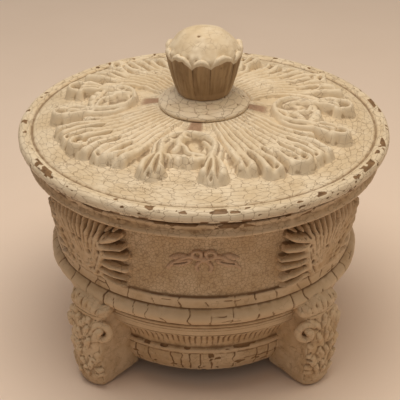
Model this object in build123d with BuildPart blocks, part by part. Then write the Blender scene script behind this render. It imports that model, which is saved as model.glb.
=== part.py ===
from build123d import *
import math
import os

# A round vanity trinket box on four scroll feet, with a lift-off domed lid.
# Millimetres, +Z up, front towards -Y, origin at the middle of the base on the
# surface that the box stands on. Every section is drawn as (radius, height).

# Driving dimensions: heights
PAD_T = 0.8             # felt pad under each foot
PLINTH_Z = 6.4          # underside of the plinth ring
RING_Z = 19.5           # top of the plinth's plain lower ring, foot of its cove
SHOULDER_Z = 30.2       # where the bowl sits on the plinth ring
FILLET_Z = 33.4         # step between the bowl's two lower fillets
TORUS_Z = 36.6          # underside of the large torus
STEP_Z = 44.7           # top of the torus, underside of the step
FRIEZE_Z = 49.6         # bottom of the plain frieze
NECK_Z = 78.6           # top of the frieze
BAND_Z = 80.6           # underside of the rim band
SEAT_Z = 88.0           # rim of the bowl, where the lid rests
BORDER_Z = 93.0         # outer edge of the lid's domed top
COLLAR_Z = 100.9        # flat seat of the knob collar
CUP_Z = 106.6           # foot of the knob cup
BUD_Z = 112.0           # floor of the pocket that the knob bud sits in
LIP_Z = 124.0           # where the bud leaves the cup
CUP_TOP_Z = 126.3       # tips of the cup's petals
TOP_Z = 133.0           # top of the bud

# Driving dimensions: radii
LID_R = 73.0            # widest part of the lid's rolled rim
LID_FOOT_R = 71.2       # underside of the lid's rim
BORDER_R = 66.6         # outer edge of the lid's domed top
BAND_R = 69.4           # rim band of the bowl
TORUS_R = 62.7          # widest part of the torus
STEP_R = 60.2           # step above the torus
FRIEZE_TOP_R = 59.8
FRIEZE_R = 59.2
FILLET_R = 58.6
SHOULDER_R = 57.4
BORE_R = 55.0           # inside of the bowl
SPIGOT_R = 42.0         # spigot under the bowl
COLLAR_R = 18.0
CUP_R = 9.6             # foot of the knob cup
CUP_RIM_R = 15.2        # mouth of the knob cup
BUD_R = 13.0            # bud where it leaves the cup

# Walls, linings and fits
FLOOR_Z = 33.5          # floor of the bowl
FLOOR_ROUND = 5.0       # round between the bowl's floor and wall
FELT_T = 1.2
LIP_CLEARANCE = 0.6     # between the lid's locating lip and the bowl
LIP_T = 4.0
LIP_DEPTH = 4.0
SPIGOT_GAP = 0.15       # glue gap round the spigot
CEILING_Z = 94.8        # flat middle of the lid's underside
CEILING_R = 14.0
CEILING_EDGE_Z = 88.2   # lid's underside where it meets the locating lip
SCREW_R = 2.0
SCREW_HOLE_R = 2.2
SCREW_THREAD_R = 2.05
SCREW_TIP_Z = 115.0
SCREW_HEAD_R = 4.0
SCREW_HEAD_H = 2.4
WASHER_R = 6.0
WASHER_T = 1.0

# Feet
FOOT_HALF_W = 8.4
FOOT_TOE_HALF_W = 7.0
FOOT_TOP_Z = 34.5
FOOT_TOP_R = 66.6
FOOT_BULGE_R = 68.4
FOOT_BULGE_Z = 20.5
FOOT_TOE_R = (57.6, 66.2)
FOOT_ROOT_R = 46.0      # how far in the bracket reaches, cut back by the plinth
VOLUTE_R = 5.0
VOLUTE_AT = (62.0, 26.6)
VOLUTE_PROUD = 0.9

# Ornament
PALMETTE_W = 18.0       # half width of a palmette, without its outer fingers
PALMETTE_H = 11.2       # half height
PALMETTE_FINGER_R = 3.0
PALMETTE_FINGERS = 16
PALMETTE_PROUD = (2.6, 6.6)  # at its foot, and at its top where the leaf tips curl out
KNEE_R = 67.4           # the leaf over each foot, which laps the torus
KNEE_TOP_Z = 41.6
GARLAND_PROUD = 1.2
LID_TURN = -9.0         # the carving is turned a little from the box's own front
FAN_HALF_ANGLE = 40.0
FAN_IN_R = 19.0
FAN_OUT_R = 56.0
FAN_LOBES = 7
FAN_LOBE_R = 4.6
FAN_FLUTES = 9
SCROLL_AT = 38.5        # radius of the middle of each scroll's eye
SCROLL_R = 8.0
EYE_R = (2.3, 3.8)
CURL_AT = 58.5
CURL_R = 3.4
STEM_W = 5.0
ORNAMENT_GAP = 0.3

# Knob petals: wide and narrow ones by turns
PETAL_ANGLES = (43.0, 29.0)
PETAL_PAIRS = 5
PETAL_START = 251.5     # first valley, so that a narrow petal faces the front
PETAL_NOTCH = (1.4, 3.4)        # half width and depth of the valleys between petals

CORNERS = {"front_left": 225, "front_right": 315, "rear_left": 135, "rear_right": 45}
SIDES = {"front": 270, "right": 0, "rear": 90, "left": 180}

os.makedirs("parts", exist_ok=True)


def write(piece, node):
    piece.part.label = node
    export_step(piece.part, f"parts/{node}.step")


def around(angle):
    """Unit vectors outwards and to the side at an angle round the box."""
    turn = math.radians(angle)
    outwards = Vector(math.cos(turn), math.sin(turn), 0)
    sideways = Vector(math.sin(turn), -math.cos(turn), 0)
    return outwards, sideways


def radial_plane(angle):
    """Upright plane through the axis: x is the radius, y is the height."""
    outwards, sideways = around(angle)
    return Plane(origin=(0, 0, 0), x_dir=outwards, z_dir=sideways)


def facing_plane(angle):
    """Upright plane through the axis that faces outwards: y is the height."""
    outwards, sideways = around(angle)
    return Plane(origin=(0, 0, 0), x_dir=-sideways, z_dir=outwards)


def dome_z(radius):
    """Height of the lid's domed top, a straight cone from collar to border."""
    slope = (COLLAR_Z - BORDER_Z) / (BORDER_R - COLLAR_R)
    return COLLAR_Z - slope * (radius - COLLAR_R)


def ceiling_z(radius):
    """Height of the cone under the lid."""
    slope = (CEILING_Z - CEILING_EDGE_Z) / (BORE_R - LIP_CLEARANCE - LIP_T - CEILING_R)
    return CEILING_Z - slope * (radius - CEILING_R)


# ---------------------------------------------------------------- bowl
with BuildPart() as bowl_shell:
    with BuildSketch(Plane.XZ):
        with BuildLine():
            Polyline((0, FLOOR_Z), (BORE_R - FLOOR_ROUND, FLOOR_Z))
            CenterArc((BORE_R - FLOOR_ROUND, FLOOR_Z + FLOOR_ROUND), FLOOR_ROUND, -90, 90)
            Polyline(
                (BORE_R, FLOOR_Z + FLOOR_ROUND),
                (BORE_R, SEAT_Z),
                (BAND_R - 0.8, SEAT_Z),
                (BAND_R, SEAT_Z - 0.8),
                (BAND_R, BAND_Z + 1.2),
                (BAND_R - 1.0, BAND_Z),
                (FRIEZE_TOP_R + 0.8, BAND_Z - 1.0),
                (FRIEZE_TOP_R, NECK_Z),
                (FRIEZE_R, FRIEZE_Z),
                (STEP_R, FRIEZE_Z - 0.6),
                (STEP_R, STEP_Z + 0.5),
                (STEP_R - 0.6, STEP_Z),
            )
            ThreePointArc(
                (STEP_R - 0.6, STEP_Z),
                (TORUS_R, (STEP_Z + TORUS_Z) / 2),
                (FILLET_R, TORUS_Z),
            )
            Polyline(
                (FILLET_R, TORUS_Z),
                (FILLET_R, FILLET_Z),
                (SHOULDER_R, FILLET_Z - 0.4),
                (SHOULDER_R, SHOULDER_Z),
                (SPIGOT_R, SHOULDER_Z),
                (SPIGOT_R, PLINTH_Z + 1.6),
                (0, PLINTH_Z + 1.6),
                (0, FLOOR_Z),
            )
        make_face()
    revolve(axis=Axis.Z)

# ---------------------------------------------------------------- plinth ring
with BuildPart() as plinth_ring:
    with BuildSketch(Plane.XZ):
        with BuildLine():
            Polyline(
                (SPIGOT_R + SPIGOT_GAP, PLINTH_Z),
                (SPIGOT_R + SPIGOT_GAP, SHOULDER_Z),
                (SHOULDER_R - 0.4, SHOULDER_Z),
                (SHOULDER_R - 1.2, SHOULDER_Z - 1.0),
            )
            ThreePointArc((SHOULDER_R - 1.2, SHOULDER_Z - 1.0), (51.8, 25.6), (49.8, RING_Z))
            Polyline(
                (49.8, RING_Z),
                (50.8, RING_Z - 0.6),
                (50.4, 14.0),
                (47.4, PLINTH_Z + 0.6),
                (46.6, PLINTH_Z),
                (SPIGOT_R + SPIGOT_GAP, PLINTH_Z),
            )
        make_face()
    revolve(axis=Axis.Z)

# ---------------------------------------------------------------- linings
with BuildPart() as bowl_felt:
    with BuildSketch(Plane.XY.offset(FLOOR_Z)):
        Circle(BORE_R - FLOOR_ROUND - 0.2)
    extrude(amount=FELT_T)

with BuildPart() as wall_felt:
    with BuildSketch(Plane.XY.offset(FLOOR_Z + FLOOR_ROUND + 0.5)):
        Circle(BORE_R)
        Circle(BORE_R - FELT_T, mode=Mode.SUBTRACT)
    extrude(amount=SEAT_Z - LIP_DEPTH - 2.0 - (FLOOR_Z + FLOOR_ROUND + 0.5))

for ring, node in (
    (bowl_shell, "bowl_shell"),
    (plinth_ring, "plinth_ring"),
    (bowl_felt, "bowl_felt"),
    (wall_felt, "wall_felt"),
):
    write(ring, node)

# ---------------------------------------------------------------- feet and their pads
for corner, angle in CORNERS.items():
    with BuildPart() as foot:
        with BuildSketch(radial_plane(angle)):
            with BuildLine():
                ThreePointArc(
                    (FOOT_TOP_R, FOOT_TOP_Z),
                    (FOOT_BULGE_R, FOOT_BULGE_Z),
                    (FOOT_TOE_R[1], PAD_T),
                )
                Polyline(
                    (FOOT_TOE_R[1], PAD_T),
                    (FOOT_TOE_R[0], PAD_T),
                    (FOOT_ROOT_R, PLINTH_Z + 2.2),
                    (FOOT_ROOT_R, SHOULDER_Z),
                    (SHOULDER_R - 1.0, FOOT_TOP_Z),
                    (FOOT_TOP_R, FOOT_TOP_Z),
                )
            make_face()
        extrude(amount=FOOT_HALF_W, both=True)
        with BuildSketch(radial_plane(angle)):
            with Locations(VOLUTE_AT):
                Circle(VOLUTE_R)
        extrude(amount=FOOT_HALF_W + VOLUTE_PROUD, both=True)
        with BuildSketch(facing_plane(angle)):
            with BuildLine():
                Polyline(
                    (-FOOT_TOE_HALF_W, PAD_T),
                    (-FOOT_HALF_W - VOLUTE_PROUD, VOLUTE_AT[1] - VOLUTE_R),
                    (-FOOT_HALF_W - VOLUTE_PROUD, FOOT_TOP_Z),
                    (FOOT_HALF_W + VOLUTE_PROUD, FOOT_TOP_Z),
                    (FOOT_HALF_W + VOLUTE_PROUD, VOLUTE_AT[1] - VOLUTE_R),
                    (FOOT_TOE_HALF_W, PAD_T),
                    close=True,
                )
            make_face()
        extrude(amount=LID_R, mode=Mode.INTERSECT)
        add(bowl_shell.part, mode=Mode.SUBTRACT)
        add(plinth_ring.part, mode=Mode.SUBTRACT)
    write(foot, f"foot_{corner}")

    with BuildPart() as foot_pad:
        with BuildSketch(Plane.XY):
            with Locations(around(angle)[0] * (sum(FOOT_TOE_R) / 2)):
                Rectangle(
                    FOOT_TOE_R[1] - FOOT_TOE_R[0] - 1.0,
                    2 * FOOT_TOE_HALF_W - 1.2,
                    rotation=angle,
                )
        extrude(amount=PAD_T)
    write(foot_pad, f"foot_pad_{corner}")

# ---------------------------------------------------------------- palmettes and knee leaves
for corner, angle in CORNERS.items():
    with BuildPart() as palmette:
        with BuildSketch(facing_plane(angle)):
            with Locations((0, (FRIEZE_Z + NECK_Z) / 2)):
                Ellipse(PALMETTE_W, PALMETTE_H)
            for finger in range(PALMETTE_FINGERS):
                turn = 2 * math.pi * finger / PALMETTE_FINGERS
                middle = (
                    PALMETTE_W * math.cos(turn),
                    (FRIEZE_Z + NECK_Z) / 2 + PALMETTE_H * math.sin(turn),
                )
                with Locations(middle):
                    Circle(PALMETTE_FINGER_R)
        extrude(amount=LID_R)
        with BuildSketch(Plane.XZ):
            with BuildLine():
                Polyline(
                    (FRIEZE_R - 4.0, FRIEZE_Z + 0.2),
                    (FRIEZE_R + 1.0, FRIEZE_Z + 0.2),
                    (FRIEZE_R + PALMETTE_PROUD[0], FRIEZE_Z + 4.0),
                    (FRIEZE_TOP_R + PALMETTE_PROUD[0] + 1.2, FRIEZE_Z + 13.0),
                    (FRIEZE_TOP_R + PALMETTE_PROUD[1], NECK_Z - 6.0),
                    (FRIEZE_TOP_R + PALMETTE_PROUD[1], NECK_Z - 2.0),
                    (FRIEZE_TOP_R + PALMETTE_PROUD[1] - 1.6, NECK_Z - 0.2),
                    (FRIEZE_R - 4.0, NECK_Z - 0.2),
                    close=True,
                )
            make_face()
        revolve(axis=Axis.Z, mode=Mode.INTERSECT)
        add(bowl_shell.part, mode=Mode.SUBTRACT)
    write(palmette, f"cartouche_{corner}")

    with BuildPart() as knee_leaf:
        with BuildSketch(facing_plane(angle)):
            with BuildLine():
                Polyline(
                    (-FOOT_HALF_W - 1.0, FOOT_TOP_Z + 0.3),
                    (-FOOT_HALF_W - 1.2, KNEE_TOP_Z - 2.6),
                    (-FOOT_HALF_W + 3.4, KNEE_TOP_Z - 0.6),
                    (0, KNEE_TOP_Z),
                    (FOOT_HALF_W - 3.4, KNEE_TOP_Z - 0.6),
                    (FOOT_HALF_W + 1.2, KNEE_TOP_Z - 2.6),
                    (FOOT_HALF_W + 1.0, FOOT_TOP_Z + 0.3),
                    close=True,
                )
            make_face()
        extrude(amount=LID_R)
        with BuildSketch(Plane.XZ):
            with BuildLine():
                Polyline(
                    (FILLET_R - 1.5, FOOT_TOP_Z + 0.3),
                    (KNEE_R, FOOT_TOP_Z + 0.3),
                    (KNEE_R, FOOT_TOP_Z + 2.0),
                    (KNEE_R - 1.6, KNEE_TOP_Z - 1.4),
                    (TORUS_R + 0.8, KNEE_TOP_Z),
                    (FILLET_R - 1.5, KNEE_TOP_Z),
                    close=True,
                )
            make_face()
        revolve(axis=Axis.Z, mode=Mode.INTERSECT)
        add(bowl_shell.part, mode=Mode.SUBTRACT)
    write(knee_leaf, f"knee_leaf_{corner}")

# ---------------------------------------------------------------- frieze garlands
for side, angle in SIDES.items():
    with BuildPart() as garland:
        with BuildSketch(facing_plane(angle)):
            with Locations((0, 66.0)):
                Circle(2.4)
            for hand in (-1, 1):
                with Locations((hand * 4.6, 67.2)):
                    Ellipse(4.2, 2.0, rotation=hand * 20)
                with Locations((hand * 8.8, 63.6)):
                    Ellipse(5.0, 2.2, rotation=-hand * 35)
        extrude(amount=LID_R)
        with BuildSketch(Plane.XZ):
            with BuildLine():
                Polyline(
                    (FRIEZE_R - 4.0, FRIEZE_Z + 4.0),
                    (FRIEZE_R + GARLAND_PROUD, FRIEZE_Z + 4.0),
                    (FRIEZE_TOP_R + GARLAND_PROUD, NECK_Z - 4.0),
                    (FRIEZE_R - 4.0, NECK_Z - 4.0),
                    close=True,
                )
            make_face()
        revolve(axis=Axis.Z, mode=Mode.INTERSECT)
        add(bowl_shell.part, mode=Mode.SUBTRACT)
    write(garland, f"garland_{side}")

# ---------------------------------------------------------------- lid
lip_out = BORE_R - LIP_CLEARANCE
lip_in = lip_out - LIP_T
with BuildPart() as lid_plate:
    with BuildSketch(Plane.XZ):
        with BuildLine():
            Polyline(
                (LID_R - 1.6, BORDER_Z + 0.4),
                (BORDER_R + 1.8, BORDER_Z),
                (BORDER_R + 1.4, BORDER_Z - 0.6),
                (BORDER_R + 0.4, BORDER_Z - 0.6),
                (BORDER_R, BORDER_Z),
                (COLLAR_R, COLLAR_Z),
                (SCREW_HOLE_R, COLLAR_Z),
                (SCREW_HOLE_R, CEILING_Z),
                (CEILING_R, CEILING_Z),
                (lip_in, CEILING_EDGE_Z),
                (lip_in, SEAT_Z - LIP_DEPTH),
                (lip_out, SEAT_Z - LIP_DEPTH),
                (lip_out, SEAT_Z),
                (LID_FOOT_R, SEAT_Z),
            )
            ThreePointArc(
                (LID_FOOT_R, SEAT_Z),
                (LID_R, SEAT_Z + 2.9),
                (LID_R - 1.6, BORDER_Z + 0.4),
            )
        make_face()
    revolve(axis=Axis.Z)
write(lid_plate, "lid_plate")

with BuildPart() as lid_felt:
    with BuildSketch(Plane.XZ):
        with BuildLine():
            Polyline(
                (CEILING_R + 1.0, ceiling_z(CEILING_R + 1.0)),
                (lip_in - 0.6, ceiling_z(lip_in - 0.6)),
                (lip_in - 0.6, ceiling_z(lip_in - 0.6) - FELT_T),
                (CEILING_R + 1.0, ceiling_z(CEILING_R + 1.0) - FELT_T),
                close=True,
            )
        make_face()
    revolve(axis=Axis.Z)
write(lid_felt, "lid_felt")


def relief(low, high):
    """Ring that stands proud of the lid's dome: low by the collar, high outside."""
    with BuildPart() as ring:
        with BuildSketch(Plane.XZ):
            with BuildLine():
                Polyline(
                    (FAN_IN_R, COLLAR_Z - 3.0),
                    (FAN_IN_R, dome_z(FAN_IN_R) + low),
                    (FAN_OUT_R, dome_z(FAN_OUT_R) + high),
                    (CURL_AT + 3.0, dome_z(CURL_AT) + high - 1.0),
                    (CURL_AT + 4.2, BORDER_Z - 2.0),
                    close=True,
                )
            make_face()
        revolve(axis=Axis.Z)
        add(lid_plate.part, mode=Mode.SUBTRACT)
    return ring.part.solids().sort_by(Axis.Z)[-1]


fan_relief = relief(1.6, 3.8)
scroll_relief = relief(2.0, 4.2)


def scroll_outline(angle, grow, mode):
    """C-scroll with its stem and curled tip, as seen from above, in the current sketch."""
    outwards = around(angle)[0]
    with Locations(outwards * SCROLL_AT):
        Circle(SCROLL_R + grow, mode=mode)
    with Locations(outwards * ((SCROLL_AT + CURL_AT) / 2)):
        Rectangle(CURL_AT - SCROLL_AT, STEM_W + 2 * grow, rotation=angle, mode=mode)
    with Locations(outwards * CURL_AT):
        Circle(CURL_R + grow, mode=mode)


for corner, corner_angle in CORNERS.items():
    angle = corner_angle + LID_TURN
    with BuildPart() as lid_fan:
        with BuildSketch(Plane.XY.offset(BORDER_Z - 4.0)):
            with BuildLine():
                first = around(angle - FAN_HALF_ANGLE)[0]
                middle = around(angle)[0]
                last = around(angle + FAN_HALF_ANGLE)[0]
                Line(first * FAN_IN_R, first * FAN_OUT_R)
                ThreePointArc(first * FAN_OUT_R, middle * FAN_OUT_R, last * FAN_OUT_R)
                Line(last * FAN_OUT_R, last * FAN_IN_R)
                ThreePointArc(last * FAN_IN_R, middle * FAN_IN_R, first * FAN_IN_R)
            make_face()
            for lobe in range(FAN_LOBES):
                spread = FAN_HALF_ANGLE - 5.0
                lobe_angle = angle - spread + 2 * spread * lobe / (FAN_LOBES - 1)
                with Locations(around(lobe_angle)[0] * (FAN_OUT_R - 0.4)):
                    Circle(FAN_LOBE_R)
            for flute in range(FAN_FLUTES):
                spread = FAN_HALF_ANGLE - 12.0
                flute_angle = angle - spread + 2 * spread * flute / (FAN_FLUTES - 1)
                with Locations(around(flute_angle)[0] * 38.0):
                    SlotOverall(24.0, 1.0, rotation=flute_angle, mode=Mode.SUBTRACT)
            for side_angle in (angle - 45, angle + 45):
                scroll_outline(side_angle, ORNAMENT_GAP, Mode.SUBTRACT)
        extrude(amount=20.0)
        add(fan_relief, mode=Mode.INTERSECT)
    write(lid_fan, f"lid_fan_{corner}")

for side, side_turn in SIDES.items():
    angle = side_turn + LID_TURN
    with BuildPart() as lid_scroll:
        with BuildSketch(Plane.XY.offset(BORDER_Z - 4.0)):
            scroll_outline(angle, 0.0, Mode.ADD)
            with Locations(around(angle)[0] * SCROLL_AT):
                Ellipse(EYE_R[1], EYE_R[0], rotation=angle, mode=Mode.SUBTRACT)
        extrude(amount=20.0)
        add(scroll_relief, mode=Mode.INTERSECT)
    write(lid_scroll, f"lid_scroll_{side}")

# ---------------------------------------------------------------- knob
with BuildPart() as knob_collar:
    with BuildSketch(Plane.XZ):
        with BuildLine():
            Polyline(
                (SCREW_HOLE_R, COLLAR_Z),
                (COLLAR_R, COLLAR_Z),
                (COLLAR_R, COLLAR_Z + 1.6),
                (COLLAR_R - 1.0, COLLAR_Z + 2.4),
                (CUP_R + 0.4, CUP_Z),
                (SCREW_HOLE_R, CUP_Z),
                close=True,
            )
        make_face()
    revolve(axis=Axis.Z)
write(knob_collar, "knob_collar")

with BuildPart() as knob_cup:
    with BuildSketch(Plane.XZ):
        with BuildLine():
            Polyline(
                (CUP_RIM_R, CUP_TOP_Z),
                (BUD_R + 0.9, CUP_TOP_Z),
                (BUD_R, LIP_Z),
                (CUP_R - 1.2, BUD_Z),
                (SCREW_THREAD_R, BUD_Z),
                (SCREW_THREAD_R, CUP_Z),
                (CUP_R, CUP_Z),
            )
            ThreePointArc((CUP_R, CUP_Z), (13.0, 115.0), (CUP_RIM_R, CUP_TOP_Z))
        make_face()
    revolve(axis=Axis.Z)
    valley = PETAL_START
    for petal in range(2 * PETAL_PAIRS):
        with BuildSketch(facing_plane(valley)):
            with Locations((0, CUP_TOP_Z)):
                Ellipse(PETAL_NOTCH[0], PETAL_NOTCH[1])
        extrude(amount=CUP_RIM_R + 1.0, mode=Mode.SUBTRACT)
        valley += PETAL_ANGLES[(petal + 1) % 2]
write(knob_cup, "knob_cup")

# The bud's dome is a cap of a sphere whose centre is on the axis.
dome_h = TOP_Z - LIP_Z
dome_r = (BUD_R**2 + dome_h**2) / (2 * dome_h)
dome_half = math.asin(BUD_R / dome_r) / 2
dome_mid = (dome_r * math.sin(dome_half), TOP_Z - dome_r + dome_r * math.cos(dome_half))
with BuildPart() as knob_bud:
    with BuildSketch(Plane.XZ):
        with BuildLine():
            ThreePointArc((BUD_R, LIP_Z), dome_mid, (0, TOP_Z))
            Polyline(
                (0, TOP_Z),
                (0, SCREW_TIP_Z + 1.0),
                (SCREW_THREAD_R, SCREW_TIP_Z + 1.0),
                (SCREW_THREAD_R, BUD_Z),
                (CUP_R - 1.2, BUD_Z),
                (BUD_R, LIP_Z),
            )
        make_face()
    revolve(axis=Axis.Z)
write(knob_bud, "knob_bud")

with BuildPart() as knob_washer:
    with BuildSketch(Plane.XY.offset(CEILING_Z - WASHER_T)):
        Circle(WASHER_R)
        Circle(SCREW_HOLE_R, mode=Mode.SUBTRACT)
    extrude(amount=WASHER_T)
write(knob_washer, "knob_washer")

with BuildPart() as knob_screw:
    head_z = CEILING_Z - WASHER_T - SCREW_HEAD_H
    with BuildSketch(Plane.XY.offset(head_z)):
        Circle(SCREW_HEAD_R)
    extrude(amount=SCREW_HEAD_H)
    fillet(knob_screw.edges().sort_by(Axis.Z)[0], radius=1.2)
    with BuildSketch(Plane.XY.offset(head_z)):
        for turn in (0, 90):
            Rectangle(4.4, 0.9, rotation=turn)
    extrude(amount=1.2, mode=Mode.SUBTRACT)
    with BuildSketch(Plane.XY.offset(head_z + SCREW_HEAD_H)):
        Circle(SCREW_R)
    extrude(amount=SCREW_TIP_Z - head_z - SCREW_HEAD_H)
write(knob_screw, "knob_screw")
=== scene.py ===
import math

import bpy
import numpy as np
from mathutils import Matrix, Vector


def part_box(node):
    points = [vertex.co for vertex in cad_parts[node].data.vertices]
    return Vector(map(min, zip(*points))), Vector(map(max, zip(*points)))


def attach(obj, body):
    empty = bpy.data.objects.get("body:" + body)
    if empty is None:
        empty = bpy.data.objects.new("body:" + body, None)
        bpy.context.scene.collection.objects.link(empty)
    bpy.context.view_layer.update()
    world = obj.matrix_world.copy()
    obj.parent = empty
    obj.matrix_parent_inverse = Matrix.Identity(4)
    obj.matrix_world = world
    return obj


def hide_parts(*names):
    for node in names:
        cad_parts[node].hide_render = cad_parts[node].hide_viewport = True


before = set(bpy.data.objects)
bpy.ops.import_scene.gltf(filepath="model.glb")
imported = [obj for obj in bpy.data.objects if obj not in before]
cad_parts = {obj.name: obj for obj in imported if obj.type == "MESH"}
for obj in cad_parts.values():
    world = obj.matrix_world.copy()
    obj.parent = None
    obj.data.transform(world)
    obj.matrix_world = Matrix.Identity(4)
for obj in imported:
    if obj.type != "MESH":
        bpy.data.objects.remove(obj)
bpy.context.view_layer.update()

# Looks of a round vanity trinket box: turned and carved resin under a cream crackle
# paint over brown. Meshes are worked out in millimetres, in the frame's own axes, and
# scaled to metres when they are made. Front is -Y, up is +Z.

MM = 0.001


def node_top(node):
    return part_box(node)[1][2] / MM


def node_foot(node):
    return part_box(node)[0][2] / MM


def node_reach(node):
    """Largest x of a node that is turned about the axis: its outer radius."""
    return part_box(node)[1][0] / MM


# ------------------------------------------------------------------ sizes, millimetres
TOP_Z = node_top("knob_bud")
BAND_R = node_reach("bowl_shell")
SEAT_Z = node_top("bowl_shell")
SHOULDER_Z = node_top("plinth_ring")
PLINTH_Z = node_foot("plinth_ring")
FRIEZE_Z = node_foot("cartouche_front_left") - 0.2
NECK_Z = node_top("cartouche_front_left") + 0.2
COLLAR_R = node_reach("knob_collar")
COLLAR_Z = node_foot("knob_collar")
CUP_Z = node_top("knob_collar")
CUP_R = 9.6
CUP_RIM_R = 15.2
PAD_T = node_top("foot_pad_front_left")
FELT_T = node_top("bowl_felt") - node_foot("bowl_felt")
FLOOR_Z = node_foot("bowl_felt")
BORE_R = node_reach("wall_felt")
SPIGOT_R = 42.0
BORDER_R = 66.6
BORDER_Z = 93.0
TORUS_Z = (36.6, 44.7)
TORUS_R = 62.7
STEP_R = 60.2
FRIEZE_R = (59.2, 59.8)
BAND_Z = 80.6
FILLET_R = 58.6
SHOULDER_R = 57.4
FILLET_Z = 33.4
STEP_Z = (45.2, 49.0)
FRIEZE_FOOT_Z = 49.6
PLINTH_BORE_R = 42.15
RIM_R = 73.0
CEILING = ((14.0, 94.8), (50.4, 88.2))
SCREW_R = 2.2
BIG_COLUMNS = 880
WALL_R = 59.5
KNEE_R = 63.0
KNEE_BACK_R = 58.2
PLINTH_SKIN_R = 46.2
PLINTH_TOP_Z = 30.0
CUP_FLOOR_Z = 112.0
CUP_LIP_Z = 122.6

CORNERS = {"front_left": 225, "front_right": 315, "rear_left": 135, "rear_right": 45}
SIDES = {"front": 270, "right": 0, "rear": 90, "left": 180}


# ------------------------------------------------------------------ noise and fields
def soft_noise(points, cell, seed):
    """Smooth noise from -1 to 1, with lumps about cell across; the points' last axis is x, y, z."""
    size = 32
    table = np.random.default_rng(seed).uniform(-1, 1, (size, size, size))
    place = np.asarray(points, float) / np.asarray(cell, float)
    low = np.floor(place).astype(int)
    part = place - low
    part = part * part * (3 - 2 * part)
    total = np.zeros(place.shape[:-1])
    for corner in range(8):
        step = np.array([corner & 1, corner >> 1 & 1, corner >> 2 & 1])
        weight = np.prod(np.where(step == 1, part, 1 - part), axis=-1)
        i, j, k = np.moveaxis((low + step) % size, -1, 0)
        total += weight * table[i, j, k]
    return total


def ease(low, high, value):
    """0 below low, 1 above high, smooth between."""
    t = np.clip((value - low) / (high - low), 0, 1)
    return t * t * (3 - 2 * t)


def bell(value, middle, width):
    """1 at the middle, falling smoothly to nothing about two widths away."""
    return np.exp(-(((value - middle) / width) ** 2))


def ridge_field(x, y, ridges, roundness=0.5):
    """Height over a plane of rounded ridges, each a path with a half width and a height."""
    height = np.zeros_like(x)
    for path, widths, heights in ridges:
        path = np.asarray(path, float)
        widths = np.interp(np.linspace(0, 1, len(path)), np.linspace(0, 1, len(widths)), widths)
        heights = np.interp(np.linspace(0, 1, len(path)), np.linspace(0, 1, len(heights)), heights)
        margin = widths.max()
        near = (x > path[:, 0].min() - margin) & (x < path[:, 0].max() + margin)
        near &= (y > path[:, 1].min() - margin) & (y < path[:, 1].max() + margin)
        px, py = x[near], y[near]
        best = np.zeros_like(px)
        for a, b, wa, wb, ha, hb in zip(path, path[1:], widths, widths[1:], heights, heights[1:]):
            run = b - a
            t = ((px - a[0]) * run[0] + (py - a[1]) * run[1]) / max(run @ run, 1e-9)
            t = np.clip(t, 0, 1)
            gap = np.hypot(px - a[0] - t * run[0], py - a[1] - t * run[1])
            across = np.clip(1 - (gap / (wa + t * (wb - wa))) ** 2, 0, 1) ** roundness
            best = np.maximum(best, across * (ha + t * (hb - ha)))
        height[near] = np.maximum(height[near], best)
    return height


def pit_field(x, y, pits):
    """Depth of round drilled pits: each is x, y, radius and depth."""
    depth = np.zeros_like(x)
    for px, py, radius, deep in pits:
        fall = np.clip(1 - ((x - px) ** 2 + (y - py) ** 2) / radius**2, 0, 1)
        depth = np.maximum(depth, deep * fall**0.7)
    return depth


class Strokes:
    """What a carving is made of: raised ridges, and the slots and pits cut into them."""

    def __init__(self):
        self.ridges, self.slots, self.pits = [], [], []

    def ridge(self, path, widths, heights):
        self.ridges.append((path, widths, heights))

    def slot(self, path, widths, depths):
        self.slots.append((path, widths, depths))

    def pit(self, x, y, radius, depth):
        self.pits.append((x, y, radius, depth))

    def depth(self, x, y):
        return np.maximum(ridge_field(x, y, self.slots), pit_field(x, y, self.pits))


def curve(points, count=14):
    """Smooth path through a few points."""
    points = np.asarray(points, float)
    padded = np.vstack([2 * points[0] - points[1], points, 2 * points[-1] - points[-2]])
    out = []
    for u in np.linspace(0, len(points) - 1, count):
        k = min(int(u), len(points) - 2)
        t = u - k
        p0, p1, p2, p3 = padded[k : k + 4]
        square = (2 * p0 - 5 * p1 + 4 * p2 - p3) * t**2
        cube = (3 * p1 - p0 - 3 * p2 + p3) * t**3
        out.append(0.5 * (2 * p1 + (p2 - p0) * t + square + cube))
    return np.array(out)


def arc(centre, radii, start, end, count=18):
    """Path along an ellipse or spiral; radii are at the start and the end, or x and y."""
    turn = np.radians(np.linspace(start, end, count))
    radius = np.linspace(radii[0], radii[1], count)
    return np.stack([centre[0] + radius * np.cos(turn), centre[1] + radius * np.sin(turn)], 1)


def flat_grid(u_ends, v_ends, step, depth):
    """A carving's flat grid, and its places in 3-D, at the given depth, for the noise."""
    u, v = np.meshgrid(np.arange(*u_ends, step), np.arange(*v_ends, step), indexing="ij")
    return u, v, np.stack([u, v, np.full(u.shape, depth)], -1)


def around_axis(turn, out, along):
    """x and y of places that lie out from the axis, and along a wall, at an angle in radians."""
    return out * np.cos(turn) - along * np.sin(turn), out * np.sin(turn) + along * np.cos(turn)


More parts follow.
